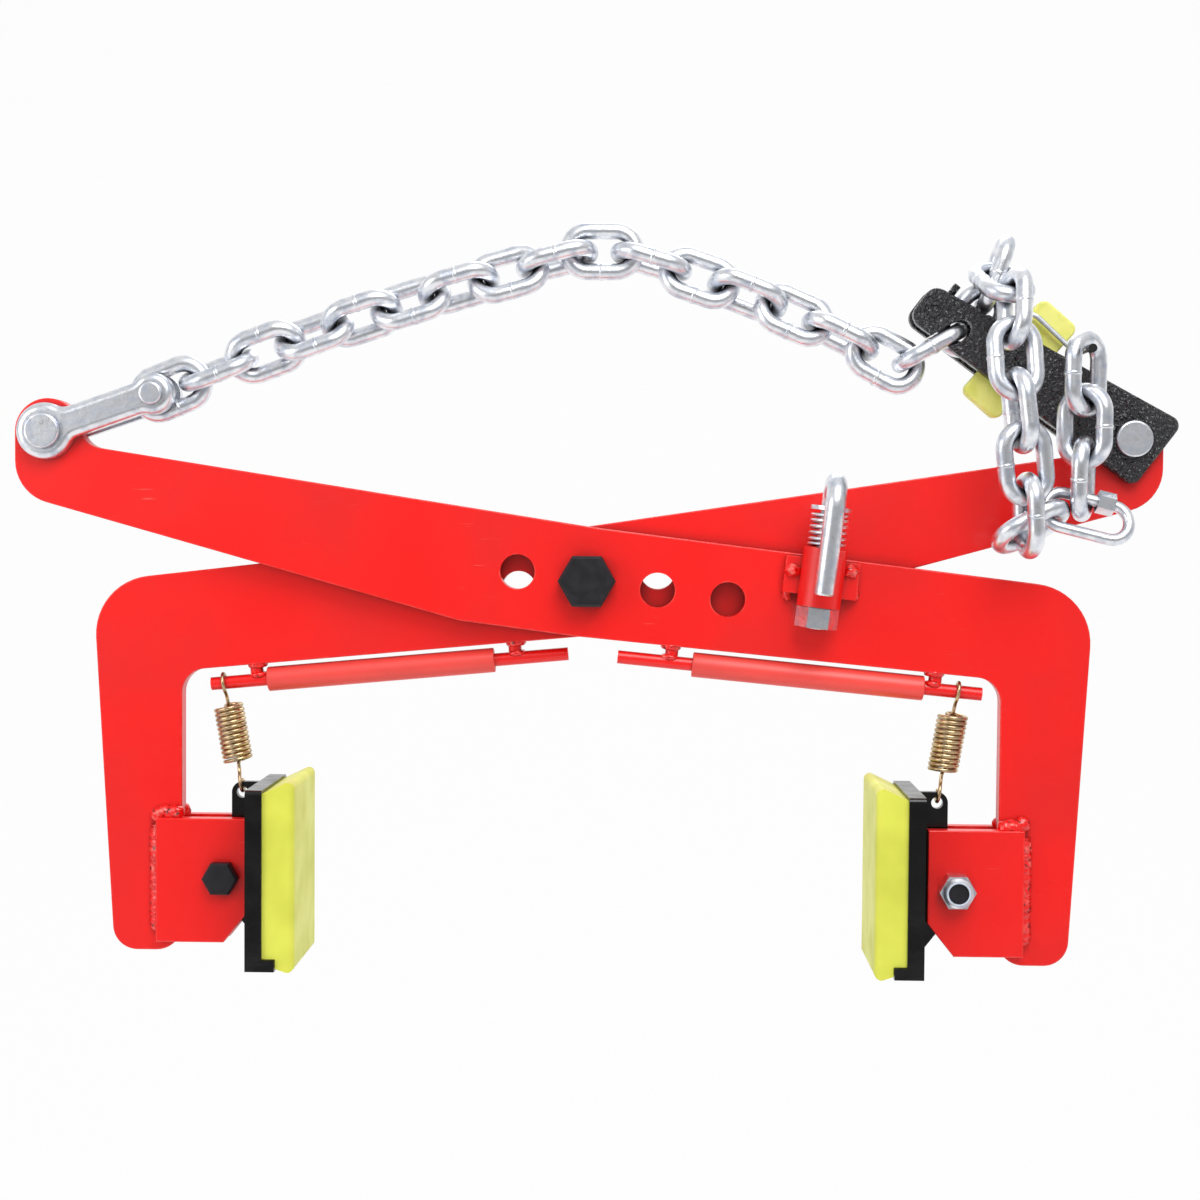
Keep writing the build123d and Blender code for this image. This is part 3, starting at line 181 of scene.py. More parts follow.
def linear(code):
    """An sRGB hex colour as the linear numbers that shaders take."""
    shares = [int(code[i : i + 2], 16) / 255 for i in (1, 3, 5)]
    return tuple(s / 12.92 if s <= 0.04045 else ((s + 0.055) / 1.055) ** 2.4 for s in shares)


def colour(title, code, about):
    """A colour that a user may change."""
    return FloatVectorProperty(
        name=title, description=about, subtype="COLOR", size=3, min=0, max=1, default=linear(code)
    )


def length(title, millimetres, about):
    """A size that a user may change."""
    return FloatProperty(
        name=title, description=about, subtype="DISTANCE", unit="LENGTH", min=0,
        default=millimetres * MM,
    )


def angle(title, degrees, about):
    """A turn that a user may change."""
    return FloatProperty(
        name=title, description=about, subtype="ANGLE", default=math.radians(degrees)
    )


class ClampColours(bpy.types.PropertyGroup):
    """Colours of the finishes."""

    red: colour("Red enamel", "#f20f09", "Sprayed enamel on the arms, lugs, rods and tube")
    red_deep: colour("Deep red", "#dc0c08", "Where the enamel is thick or dirty")
    # The worn colour also paints highlights on the welds' pale patches
    red_worn_and_highlight: colour("Worn red", "#f8766b", "Where the enamel is rubbed thin")
    # The pit colour is also the painted shade in the enamel's holes and corners
    red_pit_and_shade: colour("Pit", "#7d0f0c", "Pits in the welds")
    hose: colour("Hose", "#f34b43", "PVC hose on the handles")
    black: colour("Black paint", "#050404", "Pad holders")
    hammer: colour("Hammered black", "#17171b", "Chain grab")
    oxide: colour("Black oxide", "#1d1c21", "Bolts, nuts and washers")
    pad: colour("Pad", "#e2e557", "Polyurethane jaw pads")
    pad_deep: colour("Pad shade", "#d3d64b", "Thicker parts of the pads")
    keeper: colour("Keeper", "#f6f48a", "Polyurethane keeper of the chain grab")
    zinc: colour("Zinc", "#eef0f4", "Bright zinc plating")
    zinc_dull: colour("Dull zinc", "#c6ccd8", "Handled zinc plating")
    # Painted shade between the links and in the joints
    zinc_crevice_shade: colour("Zinc dirt", "#4a4c53", "Grime between the links")
    passivate: colour("Yellow passivate", "#d0b78f", "Pad springs")
    passivate_pink: colour("Pink passivate", "#a0866a", "The iridescence on the pad springs")
    nylon: colour("Nylon", "#d5dfee", "Locking rings of the pad nuts")
    floor: colour("Floor", "#f4f4f4", "Floor and backdrop")


class ClampSizes(bpy.types.PropertyGroup):
    """Sizes of the welds and threads."""

    bead: length("Bead", 10, "Width of the weld along each jaw lug")
    top_bead: length("Top bead", 14, "Length of the weld along each jaw lug's top")
    ripple: length("Ripple", 4.4, "Distance between the ripples of a weld")
    lump: length("Lump", 5.2, "Radius of a knob of weld metal")
    stub_bead: length("Stub bead", 2.2, "Radius of the weld round a handle stub")
    thread: length("Thread", 1.75, "Pitch of the thread past the pivot nut")
    ridge: length("Link weld", 0.45, "How far a link's butt weld stands out")
    seed: IntProperty(name="Seed", description="Start of the welds' random numbers", default=7)


class ClampStage(bpy.types.PropertyGroup):
    """Camera and lamps."""

    distance: length("Distance", 1254.8, "From the camera to the middle of the clamp")
    azimuth: angle("Azimuth", 1.413, "Camera's turn to the right")
    elevation: angle("Elevation", 2.255, "Camera's rise")
    roll: angle("Roll", 0.437, "Camera's lean to the left")
    aim: FloatVectorProperty(
        name="Aim", description="Point in the middle of the picture", subtype="TRANSLATION", size=3,
        default=(0.00048, 0, -0.2103),
    )
    lens: FloatProperty(name="Lens", description="Focal length in millimetres", default=62.03)
    key: FloatProperty(name="Key lamp", description="Power of the lamp over the front", default=19)
    fill: FloatProperty(name="Fill lamp", description="Power of the lamp at the left", default=6)
    dome: FloatProperty(
        name="Dome", description="Strength of the light from all round", default=0.65
    )


def node(tree, kind, inputs=(), **settings):
    """Add a shader node with its settings, and link or set its inputs."""
    made = tree.nodes.new("ShaderNode" + kind)
    for key, value in settings.items():
        setattr(made, key, value)
    for socket, value in dict(inputs).items():
        if isinstance(value, bpy.types.NodeSocket):
            tree.links.new(value, made.inputs[socket])
        else:
            made.inputs[socket].default_value = value
    return made


def rgba(shade):
    """A colour property as a shader socket takes it."""
    return (*shade, 1)


def blank(name, **surface):
    """A new material with one Principled shader, and its tree."""
    material = bpy.data.materials.new(name)
    material.use_nodes = True
    tree = material.node_tree
    shader = tree.nodes["Principled BSDF"]
    for socket, value in surface.items():
        shader.inputs[socket.replace("_", " ")].default_value = value
    return material, tree, shader


def two_tone(name, fine, first, second, size, low, high, rough, bumps, surface, drawn=None):
    """A finish of two colours in clouds, with its roughness and bumps from noise.

    fine is the clouds' detail and size their width in millimetres. low and high are the levels of
    noise at which the first colour ends and the second starts. rough holds the least and the most
    roughness, and bumps a list of (width, strength, depth), with lengths in millimetres. surface
    sets the shader's other sockets, and drawn turns and stretches the pattern.
    """
    material, tree, shader = blank(name, **surface)
    place = node(tree, "TexCoord").outputs["Object"]
    if drawn:
        turn, stretch = drawn
        place = node(
            tree, "Mapping", {"Vector": place, "Rotation": turn, "Scale": stretch}
        ).outputs["Vector"]
    cloud = node(
        tree, "TexNoise", {"Vector": place, "Scale": 1 / (size * MM), "Detail": fine}
    ).outputs["Fac"]
    ramp = node(tree, "ValToRGB", {"Fac": cloud})
    for stop, at, shade in zip(ramp.color_ramp.elements, (low, high), (first, second)):
        stop.position = at
        stop.color = rgba(shade)
    tree.links.new(ramp.outputs["Color"], shader.inputs["Base Color"])
    spread = node(
        tree, "MapRange",
        {"Value": cloud, "From Min": 0.3, "From Max": 0.7, "To Min": rough[0], "To Max": rough[1]},
    )
    tree.links.new(spread.outputs["Result"], shader.inputs["Roughness"])
    normal = None
    for width, strength, depth in bumps:
        lumps = node(
            tree, "TexNoise", {"Vector": place, "Scale": 1 / (width * MM), "Detail": 2}
        ).outputs["Fac"]
        bump = node(tree, "Bump", {"Height": lumps, "Strength": strength, "Distance": depth * MM})
        if normal:
            tree.links.new(normal, bump.inputs["Normal"])
        normal = bump.outputs["Normal"]
    if normal:
        tree.links.new(normal, shader.inputs["Normal"])
    return material, tree, shader, place


def cover(tree, shader, share, shade):
    """Lay a colour over the base colour by a share."""
    under = shader.inputs["Base Color"].links[0].from_socket
    over = node(tree, "Mix", {0: share, 6: under, 7: rgba(shade)}, data_type="RGBA").outputs[2]
    tree.links.new(over, shader.inputs["Base Color"])


def paint_crevice_shade(tree, shader, shade, reach):
    """Painted shade in holes and corners, from ambient occlusion within a distance in millimetres.
    """
    near = node(tree, "AmbientOcclusion", {"Distance": reach * MM}, samples=8).outputs["AO"]
    darkening = node(
        tree, "MapRange",
        {"Value": near, "From Min": 0.2, "From Max": 0.75, "To Min": 0.85, "To Max": 0},
    ).outputs["Result"]
    cover(tree, shader, darkening, shade)


def red_enamel(colours):
    """Enamel sprayed on flame-cut plate: glossy, with orange peel, thin at edges and scuffed, and
    painted shade in holes and corners.
    """
    material, tree, shader, place = two_tone(
        "red_enamel", 3, colours.red, colours.red_deep, 90, 0.45, 0.8, (0.3, 0.44),
        [(2.4, 0.1, 0.4)], {"IOR": 1.5, "Coat_Weight": 0.2, "Coat_Roughness": 0.12},
    )
    # Scuffs about 25 mm long and 0.7 mm wide, only in patches about 50 mm across
    grain = node(
        tree, "Mapping", {"Vector": place, "Rotation": (0, 0.5, 0), "Scale": (40, 700, 1400)}
    ).outputs["Vector"]
    scuff = node(tree, "TexNoise", {"Vector": grain, "Scale": 1, "Detail": 2}).outputs["Fac"]
    patch = node(
        tree, "TexNoise", {"Vector": place, "Scale": 1 / (50 * MM), "Detail": 2}
    ).outputs["Fac"]
    scuff = node(
        tree, "MapRange", {"Value": scuff, "From Min": 0.7, "From Max": 0.78}
    ).outputs["Result"]
    patch = node(
        tree, "MapRange", {"Value": patch, "From Min": 0.56, "From Max": 0.68}
    ).outputs["Result"]
    scuffed = node(tree, "Math", {0: scuff, 1: patch}, operation="MULTIPLY").outputs[0]
    # Worn edges, where a 1.6 mm rounding would turn the surface, in chips about 7 mm across
    soft = node(tree, "Bevel", {"Radius": 1.6 * MM}, samples=4).outputs["Normal"]
    true = node(tree, "NewGeometry").outputs["Normal"]
    turn = node(tree, "VectorMath", {0: soft, 1: true}, operation="DOT_PRODUCT").outputs["Value"]
    edge = node(
        tree, "MapRange", {"Value": turn, "From Min": 0.985, "From Max": 0.86, "To Max": 0.55}
    ).outputs["Result"]
    chips = node(
        tree, "TexNoise", {"Vector": place, "Scale": 1 / (7 * MM), "Detail": 3}
    ).outputs["Fac"]
    chips = node(
        tree, "MapRange", {"Value": chips, "From Min": 0.42, "From Max": 0.62}
    ).outputs["Result"]
    edge = node(tree, "Math", {0: edge, 1: chips}, operation="MULTIPLY").outputs[0]
    worn = node(tree, "Math", {0: edge, 1: scuffed}, operation="MAXIMUM").outputs[0]
    cover(tree, shader, worn, colours.red_worn_and_highlight)
    # Painted shade in holes, in corners and under the overlapping arm, in the pit colour
    paint_crevice_shade(tree, shader, colours.red_pit_and_shade, 14)
    return material


def red_weld(colours):
    """The same enamel over weld metal: thick and shiny on the ripples, dark in the slag pits."""
    material, tree, shader, place = two_tone(
        "red_weld", 3, colours.red, colours.red_deep, 5, 0.45, 0.7, (0.18, 0.34),
        [(4, 0.5, 1.2), (1.3, 0.3, 0.4)], {"IOR": 1.5, "Coat_Weight": 0.5, "Coat_Roughness": 0.08},
    )
    # Pale patches about 7 mm across, partly worn enamel and partly painted highlight on the weld
    # metal, then pits about 3 mm across
    for size, fine, low, high, shade in (
        (7, 3, 0.54, 0.7, colours.red_worn_and_highlight), (3, 1, 0.61, 0.68, colours.red_pit_and_shade)
    ):
        marks = node(
            tree, "TexNoise", {"Vector": place, "Scale": 1 / (size * MM), "Detail": fine}
        ).outputs["Fac"]
        marks = node(
            tree, "MapRange", {"Value": marks, "From Min": low, "From Max": high}
        ).outputs["Result"]
        cover(tree, shader, marks, shade)
    return material


def zinc_electroplate(colours):
    """Zinc electroplate on bent steel: bright, uneven where handled, with painted shade in the
    joints.
    """
    material, tree, shader, _ = two_tone(
        "zinc_electroplate", 5, colours.zinc, colours.zinc_dull, 6, 0.42, 0.68, (0.26, 0.42),
        [(5, 0.2, 0.6), (1.2, 0.2, 0.2)], {"Metallic": 1},
    )
    # Painted shade between the links and in the joints
    paint_crevice_shade(tree, shader, colours.zinc_crevice_shade, 5)
    return material


def wire_with_tip(colours):
    """Zinc wire whose front end is dipped in black plastic."""
    material, tree, shader, place = two_tone(
        "wire_with_tip", 3, colours.zinc, colours.zinc_dull, 6, 0.4, 0.7, (0.3, 0.45),
        [(1.5, 0.1, 0.1)], {},
    )
    depth = node(tree, "SeparateXYZ", {"Vector": place}).outputs["Y"]
    tip_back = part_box("keeper_wire")[0].y + TIP_LONG * MM
    bare = node(tree, "Math", {0: depth, 1: tip_back}, operation="GREATER_THAN").outputs[0]
    tree.links.new(bare, shader.inputs["Metallic"])
    dipped = node(tree, "Math", {0: depth, 1: tip_back}, operation="LESS_THAN").outputs[0]
    cover(tree, shader, dipped, colours.black)
    return material


def yellow_passivate(colours):
    """Zinc with yellow passivate on spring wire: brassy, with pink in places."""
    return two_tone(
        "yellow_passivate", 3, colours.passivate, colours.passivate_pink, 5, 0.42, 0.68,
        (0.24, 0.36), [(0.8, 0.08, 0.08)], {"Metallic": 1},
    )[0]


def gloss_black(colours):
    """Black gloss paint brushed on plate: runs and dust under a hard shine."""
    return two_tone(
        "gloss_black", 3, colours.black, tuple(1.5 * c for c in colours.black), 14, 0.4, 0.7,
        (0.12, 0.28), [(7, 0.16, 0.8), (1.4, 0.1, 0.3)], {"IOR": 1.5},
    )[0]


def hammered_black(colours):
    """Black powder coat with a hammered texture: sparkling dimples about 2 mm apart."""
    material, tree, shader, place = two_tone(
        "hammered_black", 3, colours.hammer, tuple(1.8 * c for c in colours.hammer), 10, 0.4, 0.7,
        (0.08, 0.2), [], {"IOR": 1.55},
    )
    wobble = node(
        tree, "TexNoise", {"Vector": place, "Scale": 1 / (3 * MM), "Detail": 2}
    ).outputs["Color"]
    bent = node(
        tree, "VectorMath", {0: wobble, 1: (2 * MM,) * 3}, operation="MULTIPLY"
    ).outputs["Vector"]
    bent = node(tree, "VectorMath", {0: place, 1: bent}, operation="ADD").outputs["Vector"]
    dimples = node(
        tree, "TexVoronoi", {"Vector": bent, "Scale": 1 / (2 * MM), "Smoothness": 0.5},
        feature="SMOOTH_F1",
    ).outputs["Distance"]
    bump = node(tree, "Bump", {"Height": dimples, "Strength": 1, "Distance": 2.2 * MM})
    tree.links.new(bump.outputs["Normal"], shader.inputs["Normal"])
    return material


def black_oxide(colours):
    """Black oxide on bolt steel: a dull, slightly oily charcoal."""
    return two_tone(
        "black_oxide", 4, colours.oxide, tuple(1.5 * c for c in colours.oxide), 6, 0.4, 0.7,
        (0.42, 0.6), [(1.2, 0.12, 0.2)], {"Metallic": 0.35},
    )[0]


def polyurethane(colours):
    """Cast polyurethane: waxy and slightly see-through, with faint flow marks from its mould."""
    return two_tone(
        "polyurethane", 2, colours.pad, colours.pad_deep, 30, 0.35, 0.65, (0.34, 0.48),
        [(16, 0.15, 0.8), (1.1, 0.06, 0.15)],
        {"IOR": 1.48, "Subsurface_Weight": 0.12, "Subsurface_Scale": 4 * MM},
    )[0]


def keeper_polyurethane(colours):
    """The same cast polyurethane in a paler yellow, scuffed by the chain."""
    return two_tone(
        "keeper_polyurethane", 3, colours.keeper, colours.pad_deep, 14, 0.4, 0.75, (0.32, 0.5),
        [(9, 0.12, 0.6), (1.1, 0.06, 0.15)],
        {"IOR": 1.48, "Subsurface_Weight": 0.12, "Subsurface_Scale": 4 * MM},
    )[0]


def pvc_hose(colours):
    """Extruded PVC hose: satin, with faint lines along it and dusty patches."""
    return two_tone(
        "pvc_hose", 3, colours.hose, tuple(0.82 * c for c in colours.hose), 22, 0.35, 0.7,
        (0.36, 0.5), [(1.2, 0.1, 0.15)], {"IOR": 1.53}, ((0, 0, 0), (0.25, 1, 1)),
    )[0]


def nylon(colours):
    """Moulded nylon of a lock nut's ring: milky and satin."""
    return two_tone(
        "nylon", 2, colours.nylon, tuple(0.8 * c for c in colours.nylon), 3, 0.35, 0.7, (0.4, 0.5),
        [(0.7, 0.05, 0.08)], {"IOR": 1.53},
    )[0]


MAKERS = (
    red_enamel, red_weld, zinc_electroplate, wire_with_tip, yellow_passivate, gloss_black,
    hammered_black, black_oxide, polyurethane, keeper_polyurethane, pvc_hose, nylon,
)


def add_piece(name, shape, finish, body=None):
    """Turn a finished bmesh into a piece, with its body and slot if they are named."""
    bmesh.ops.remove_doubles(shape, verts=shape.verts, dist=1e-6)
    bmesh.ops.recalc_face_normals(shape, faces=shape.faces)
    mesh = bpy.data.meshes.new(name)
    shape.to_mesh(mesh)
    shape.free()
    mesh.polygons.foreach_set("use_smooth", [True] * len(mesh.polygons))
    mesh.materials.append(bpy.data.materials[finish])
    piece = bpy.data.objects.new(name, mesh)
    bpy.context.scene.collection.objects.link(piece)
    if body:
        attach(piece, body)
    return piece


def add_bead(shape, start, end, radius, ripple, dice):
    """A straight weld: a rippled rod with rounded ends."""
    along = (end - start).normalized()
    turn = UP.rotation_difference(along).to_matrix().to_4x4()
    run = (end - start).length
    step = ripple / 4
    rings = int(run / step)
    ring = bmesh.ops.create_circle(
        shape, cap_ends=False, segments=12, radius=radius, matrix=Matrix.Translation(start) @ turn
    )["verts"]
    edges = list(dict.fromkeys(e for v in ring for e in v.link_edges))
    first = edges
    size = 1.0
    for i in range(1, rings + 1):
        grown = bmesh.ops.extrude_edge_only(shape, edges=edges)["geom"]
        verts = [g for g in grown if isinstance(g, bmesh.types.BMVert)]
        edges = [
            g for g in grown
            if isinstance(g, bmesh.types.BMEdge) and all(v in verts for v in g.verts)
        ]
        taper = min(1, 0.45 + 0.55 * min(i, rings - i) / 3)
        wave = 1 + 0.14 * math.sin(math.pi * (i % 4) / 4) + dice.uniform(-0.08, 0.08)
        stray = Vector((dice.uniform(-1, 1), dice.uniform(-1, 1), dice.uniform(-1, 1)))
        spot = start + along * (step * i) + stray * (radius * 0.05)
        bmesh.ops.translate(shape, verts=verts, vec=along * step)
        bmesh.ops.scale(
            shape, verts=verts, vec=(taper * wave / size,) * 3, space=Matrix.Translation(-spot)
        )
        size = taper * wave
    for rim in (first, edges):
        bmesh.ops.edgeloop_fill(shape, edges=rim)


def add_lump(shape, middle, radii, roughness):
    """A blob of weld metal."""
    made = bmesh.ops.create_icosphere(
        shape, subdivisions=3, radius=1,
        matrix=Matrix.Translation(middle) @ Matrix.Diagonal((*radii, 1)),
    )["verts"]
    for v in made:
        out = (v.co - middle).normalized()
        v.co += out * (noise.noise(v.co / (3 * MM)) * roughness)


def add_ring(shape, middle, axis, across, radius, roughness):
    """A weld round a rod."""
    turn = UP.rotation_difference(axis).to_matrix().to_4x4()
    stand = Matrix.Translation(middle) @ turn
    profile = bmesh.ops.create_circle(
        shape, cap_ends=False, segments=10, radius=radius,
        matrix=stand @ Matrix.Translation((across, 0, 0)) @ Matrix.Rotation(math.pi / 2, 4, "X"),
    )["verts"]
    edges = list(dict.fromkeys(e for v in profile for e in v.link_edges))
    bmesh.ops.spin(
        shape, geom=profile + edges, cent=middle, axis=axis, angle=2 * math.pi, steps=28,
        use_merge=True,
    )
    for v in shape.verts:
        if (v.co - middle).length < across + 2 * radius:
            out = (v.co - middle).normalized()
            v.co += out * (noise.noise(v.co / (2.5 * MM)) * roughness)


def add_thread(shape, start, axis, radius, pitch, run):
    """A helical ridge round a rod, from a start along its axis."""
    side = axis.orthogonal().normalized()
    corners = [
        start + side * (radius - THREAD_SUNK * MM),
        start + side * (radius + THREAD_TALL * MM) + axis * (pitch * 0.35),
        start + side * (radius - THREAD_SUNK * MM) + axis * (pitch * 0.7),
    ]
    verts = [shape.verts.new(c) for c in corners]
    edges = [shape.edges.new((verts[i], verts[i - 1])) for i in range(3)]
    turns = run / pitch
    steps = max(8, int(turns * 32))
    bmesh.ops.spin(
        shape, geom=verts + edges, cent=start, axis=axis, dvec=axis * (run / steps),
        angle=2 * math.pi * turns, steps=steps, use_merge=False,
    )
    bmesh.ops.holes_fill(shape, edges=[e for e in shape.edges if e.is_boundary], sides=4)


def link_sides(part):
    """Middle, direction and thickness of the lower or front side of each chain link in a part."""
    shape = bmesh.new()
    shape.from_mesh(NODES[part].data)
    bmesh.ops.remove_doubles(shape, verts=shape.verts, dist=1e-6)
    # A dict keeps the vertices in order, so that every run gives the same links
    left = dict.fromkeys(shape.verts)
    sides = []
    while left:
        reached = [left.popitem()[0]]
        for v in reached:
            for e in v.link_edges:
                if e.other_vert(v) in left:
                    del left[e.other_vert(v)]
                    reached.append(e.other_vert(v))
        points = numpy.array([v.co for v in reached])
        # Axes by spread: through the link, across it and along it
        axes = numpy.linalg.eigh(numpy.cov(points.T))[1].T
        spans = points @ axes.T
        middle = axes.T @ ((spans.min(0) + spans.max(0)) / 2)
        wire, across, _ = spans.max(0) - spans.min(0)
        side = axes[1] if axes[1] @ (0, 2, 1) < 0 else -axes[1]
        if points[:, 1].min() < CAD_BOX[0].y + MM:
            side = -side
        sides.append((Vector(middle + side * (across - wire) / 2), Vector(axes[2]), float(wire)))
    shape.free()
    return sides


class CLAMP_OT_finishes(bpy.types.Operator):
    """Give every steel and plastic part its finish"""

    bl_idname = "clamp.finishes"
    bl_label = "Finishes"

    def execute(self, context):
        colours = context.scene.clamp_colours
        for maker in MAKERS:
            maker(colours)
        for finish, parts in FINISHES.items():
            for part in parts.split():
                slots = NODES[part].data.materials
                slots.clear()
                slots.append(bpy.data.materials[finish])
        return {"FINISHED"}


class CLAMP_OT_jaw_welds(bpy.types.Operator):
    """Weld the jaw lugs to the arms, with a lump at each upper end"""

    bl_idname = "clamp.jaw_welds"
    bl_label = "Jaw welds"

    def execute(self, context):
        sizes = context.scene.clamp_sizes
        dice = random.Random(sizes.seed)
        for word, arm, side in (("left", "back_arm", -1), ("right", "front_arm", 1)):
            lugs = f"{word}_jaw_lugs"
            low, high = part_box(lugs)
            arm_low, arm_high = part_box(arm)
            edge = high.x if side > 0 else low.x
            shape = bmesh.new()
            for face, out in ((arm_low.y, -1), (arm_high.y, 1)):
                top = Vector((edge, face, high.z - sizes.bead / 2))
                foot = Vector((edge, face, low.z + sizes.bead / 2))
                add_bead(shape, top, foot, sizes.bead / 2, sizes.ripple, dice)
                row = sizes.top_bead - TOP_LUMP_TRIM * MM
                depth = face + out * TOP_LUMP_OUT * MM
                for i in range(TOP_LUMPS):
                    inward = TOP_LUMP_START * MM + row * i / (TOP_LUMPS - 1)
                    reach = sizes.lump * dice.uniform(0.85, 1.15)
                    rise = dice.uniform(0, TOP_LUMP_RISE) * MM
                    spot = Vector((edge - side * inward, depth, high.z + rise))
                    add_lump(shape, spot, (reach, reach * 0.8, reach), TOP_LUMP_ROUGH * MM)
            add_piece(f"{lugs}_welds", shape, "red_weld", arm)
        return {"FINISHED"}


class CLAMP_OT_tube_welds(bpy.types.Operator):
    """Weld the hold hook's tube to the front arm"""

    bl_idname = "clamp.tube_welds"
    bl_label = "Tube welds"

    def execute(self, context):
        low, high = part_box("hook_tube")
        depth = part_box("front_arm")[0].y - TUBE_LUMP_OUT * MM
        height = (low.z + high.z) / 2 + TUBE_LUMP_RISE * MM
        outward, back, rise = TUBE_DRIP_STEP
        shape = bmesh.new()
        for x, side in ((low.x, -1), (high.x, 1)):
            spot = Vector((x - side * TUBE_LUMP_IN * MM, depth, height))
            add_lump(shape, spot, [r * MM for r in TUBE_LUMP], TUBE_LUMP_ROUGH * MM)
            spot += Vector((side * outward, back, rise)) * MM
            add_lump(shape, spot, [r * MM for r in TUBE_DRIP], TUBE_DRIP_ROUGH * MM)
        add_piece("hook_tube_welds", shape, "red_weld", "front_arm")
        return {"FINISHED"}


class CLAMP_OT_stub_welds(bpy.types.Operator):
    """Weld the handle stubs to the arms and the rods"""

    bl_idname = "clamp.stub_welds"
    bl_label = "Stub welds"

    def execute(self, context):
        sizes = context.scene.clamp_sizes
        for word, arm, side in (("left", "back_arm", -1), ("right", "front_arm", 1)):
            low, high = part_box(f"{word}_handle_rod")
            depth = (low.y + high.y) / 2
            shape = bmesh.new()
            for along, edge in STUBS[word]:
                axis = Vector((side * math.sin(STUB_LEAN), 0, math.cos(STUB_LEAN)))
                top = Vector((PIVOT.x + side * along * MM, depth, PIVOT.z + edge * MM))
                for drop, share in STUB_WELDS:
                    spot = top - axis * (drop * MM)
                    bead = sizes.stub_bead * share
                    add_ring(shape, spot, axis, STUB_RADIUS * MM, bead, STUB_ROUGH * MM)
            add_piece(f"{word}_stub_welds", shape, "red_weld", arm)
        return {"FINISHED"}


class CLAMP_OT_lock_rings(bpy.types.Operator):
    """Set the nylon locking rings in the pad nuts"""

    bl_idname = "clamp.lock_rings"
    bl_label = "Lock rings"

    def execute(self, context):
        for word, body, out in (("left", "back_arm", 1), ("right", "front_arm", -1)):
            low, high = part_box(f"{word}_pad_nut")
            middle = (low + high) / 2
            middle.y = (high.y if out > 0 else low.y) - out * LOCK_RING_SUNK * MM
            shape = bmesh.new()
            add_ring(shape, middle, ACROSS, LOCK_RING_RADIUS * MM, LOCK_RING_WIRE * MM, 0)
            add_piece(f"{word}_lock_ring", shape, "nylon", body)
        return {"FINISHED"}


class CLAMP_OT_springs(bpy.types.Operator):
    """Close the pad springs' coils, set the hook spring on the front arm, and hide the original
    spring parts
    """

    bl_idname = "clamp.springs"
    bl_label = "Springs"

    def execute(self, context):
        for word, arm in (("left", "back_arm"), ("right", "front_arm")):
            part = f"{word}_pad_spring"
            low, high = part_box(part)
            hook = UP * (SPRING_HOOK * (high.z - low.z))
            middle = (low + high) / 2
            top = Vector((middle.x, middle.y, high.z))
            foot = Vector((middle.x, middle.y, low.z))
            shape = bmesh.new()
            shape.from_mesh(NODES[part].data)
            bmesh.ops.remove_doubles(shape, verts=shape.verts, dist=1e-6)
            bmesh.ops.recalc_face_normals(shape, faces=shape.faces)
            shape.normal_update()
            for v in shape.verts:
                inside = min(v.co.z - foot.z, top.z - v.co.z) - hook.z
                share = min(1, max(0, inside / (COIL_FADE * MM)))
                v.co += v.normal * (COIL_GROWTH * MM * share)
            wire = add_piece(f"{part}_wire", shape, "yellow_passivate")
            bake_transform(wire)
            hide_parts(part)
        shape = bmesh.new()
        shape.from_mesh(NODES["hook_spring"].data)
        lean = Vector((math.sin(HOOK_LEAN), 0, math.cos(HOOK_LEAN)))
        foot = min((v.co.copy() for v in shape.verts), key=lean.dot)
        wire = add_piece("hook_spring_wire", shape, "zinc_electroplate", "front_arm")
        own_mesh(wire)
        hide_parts("hook_spring")
        return {"FINISHED"}


class CLAMP_OT_pivot_thread(bpy.types.Operator):
    """Cut the thread that shows past the pivot nut"""

    bl_idname = "clamp.pivot_thread"
    bl_label = "Pivot thread"

    def execute(self, context):
        pitch = context.scene.clamp_sizes.thread
        shape = bmesh.new()
        start = Vector((PIVOT.x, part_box("pivot_nut")[1].y, PIVOT.z))
        add_thread(shape, start, ACROSS, PIVOT_RADIUS * MM, pitch, PIVOT_THREAD_LONG * MM)
        add_piece("pivot_thread", shape, "black_oxide", "back_arm")
        return {"FINISHED"}


class CLAMP_OT_link_welds(bpy.types.Operator):
    """Raise the butt weld on one side of every chain link"""

    bl_idname = "clamp.link_welds"
    bl_label = "Link welds"

    def execute(self, context):
        ridge = context.scene.clamp_sizes.ridge
        bead = LINK_WELD_RADIUS * MM
        runs = {"left_run": [], "right_run": []}
        for part in sorted(NODES):
            if part.startswith("chain_link_"):
                runs["left_run" if part < "chain_link_10" else "right_run"].append(part)
        runs["right_run"] += ["lifting_link", "tail_front_links", "tail_rear_links"]
        for body, parts in runs.items():
            shape = bmesh.new()
            for part in parts:
                for middle, along, wire in link_sides(part):
                    # Only the outer part of the ring stands out from the wire
                    across = wire / 2 + ridge - bead
                    add_ring(shape, middle, along, across, bead, LINK_WELD_ROUGH * MM)
            add_piece(f"{body}_link_welds", shape, "zinc_electroplate", body)
        return {"FINISHED"}


def white_paper(colours):
    """Matt white paper that looks white, also in a reflection, and still takes a shadow."""
    material, tree, shader = blank("white_paper", Roughness=0.9)
    shader.inputs["Base Color"].default_value = rgba(colours.floor)
    path = node(tree, "LightPath")
    seen = path.outputs["Is Camera Ray"]
    for way in ("Is Glossy Ray", "Is Transmission Ray"):
        seen = node(
            tree, "Math", {0: seen, 1: path.outputs[way]}, operation="MAXIMUM"
        ).outputs[0]
    seen = node(tree, "Math", {0: seen, 1: PAPER_GLOW}, operation="MULTIPLY").outputs[0]
    glow = node(tree, "Emission", {"Color": (1, 1, 1, 1), "Strength": 1}).outputs[0]
    mixed = node(tree, "MixShader", {"Fac": seen, 1: shader.outputs[0], 2: glow}).outputs[0]
    tree.links.new(mixed, tree.nodes["Material Output"].inputs["Surface"])
    return material


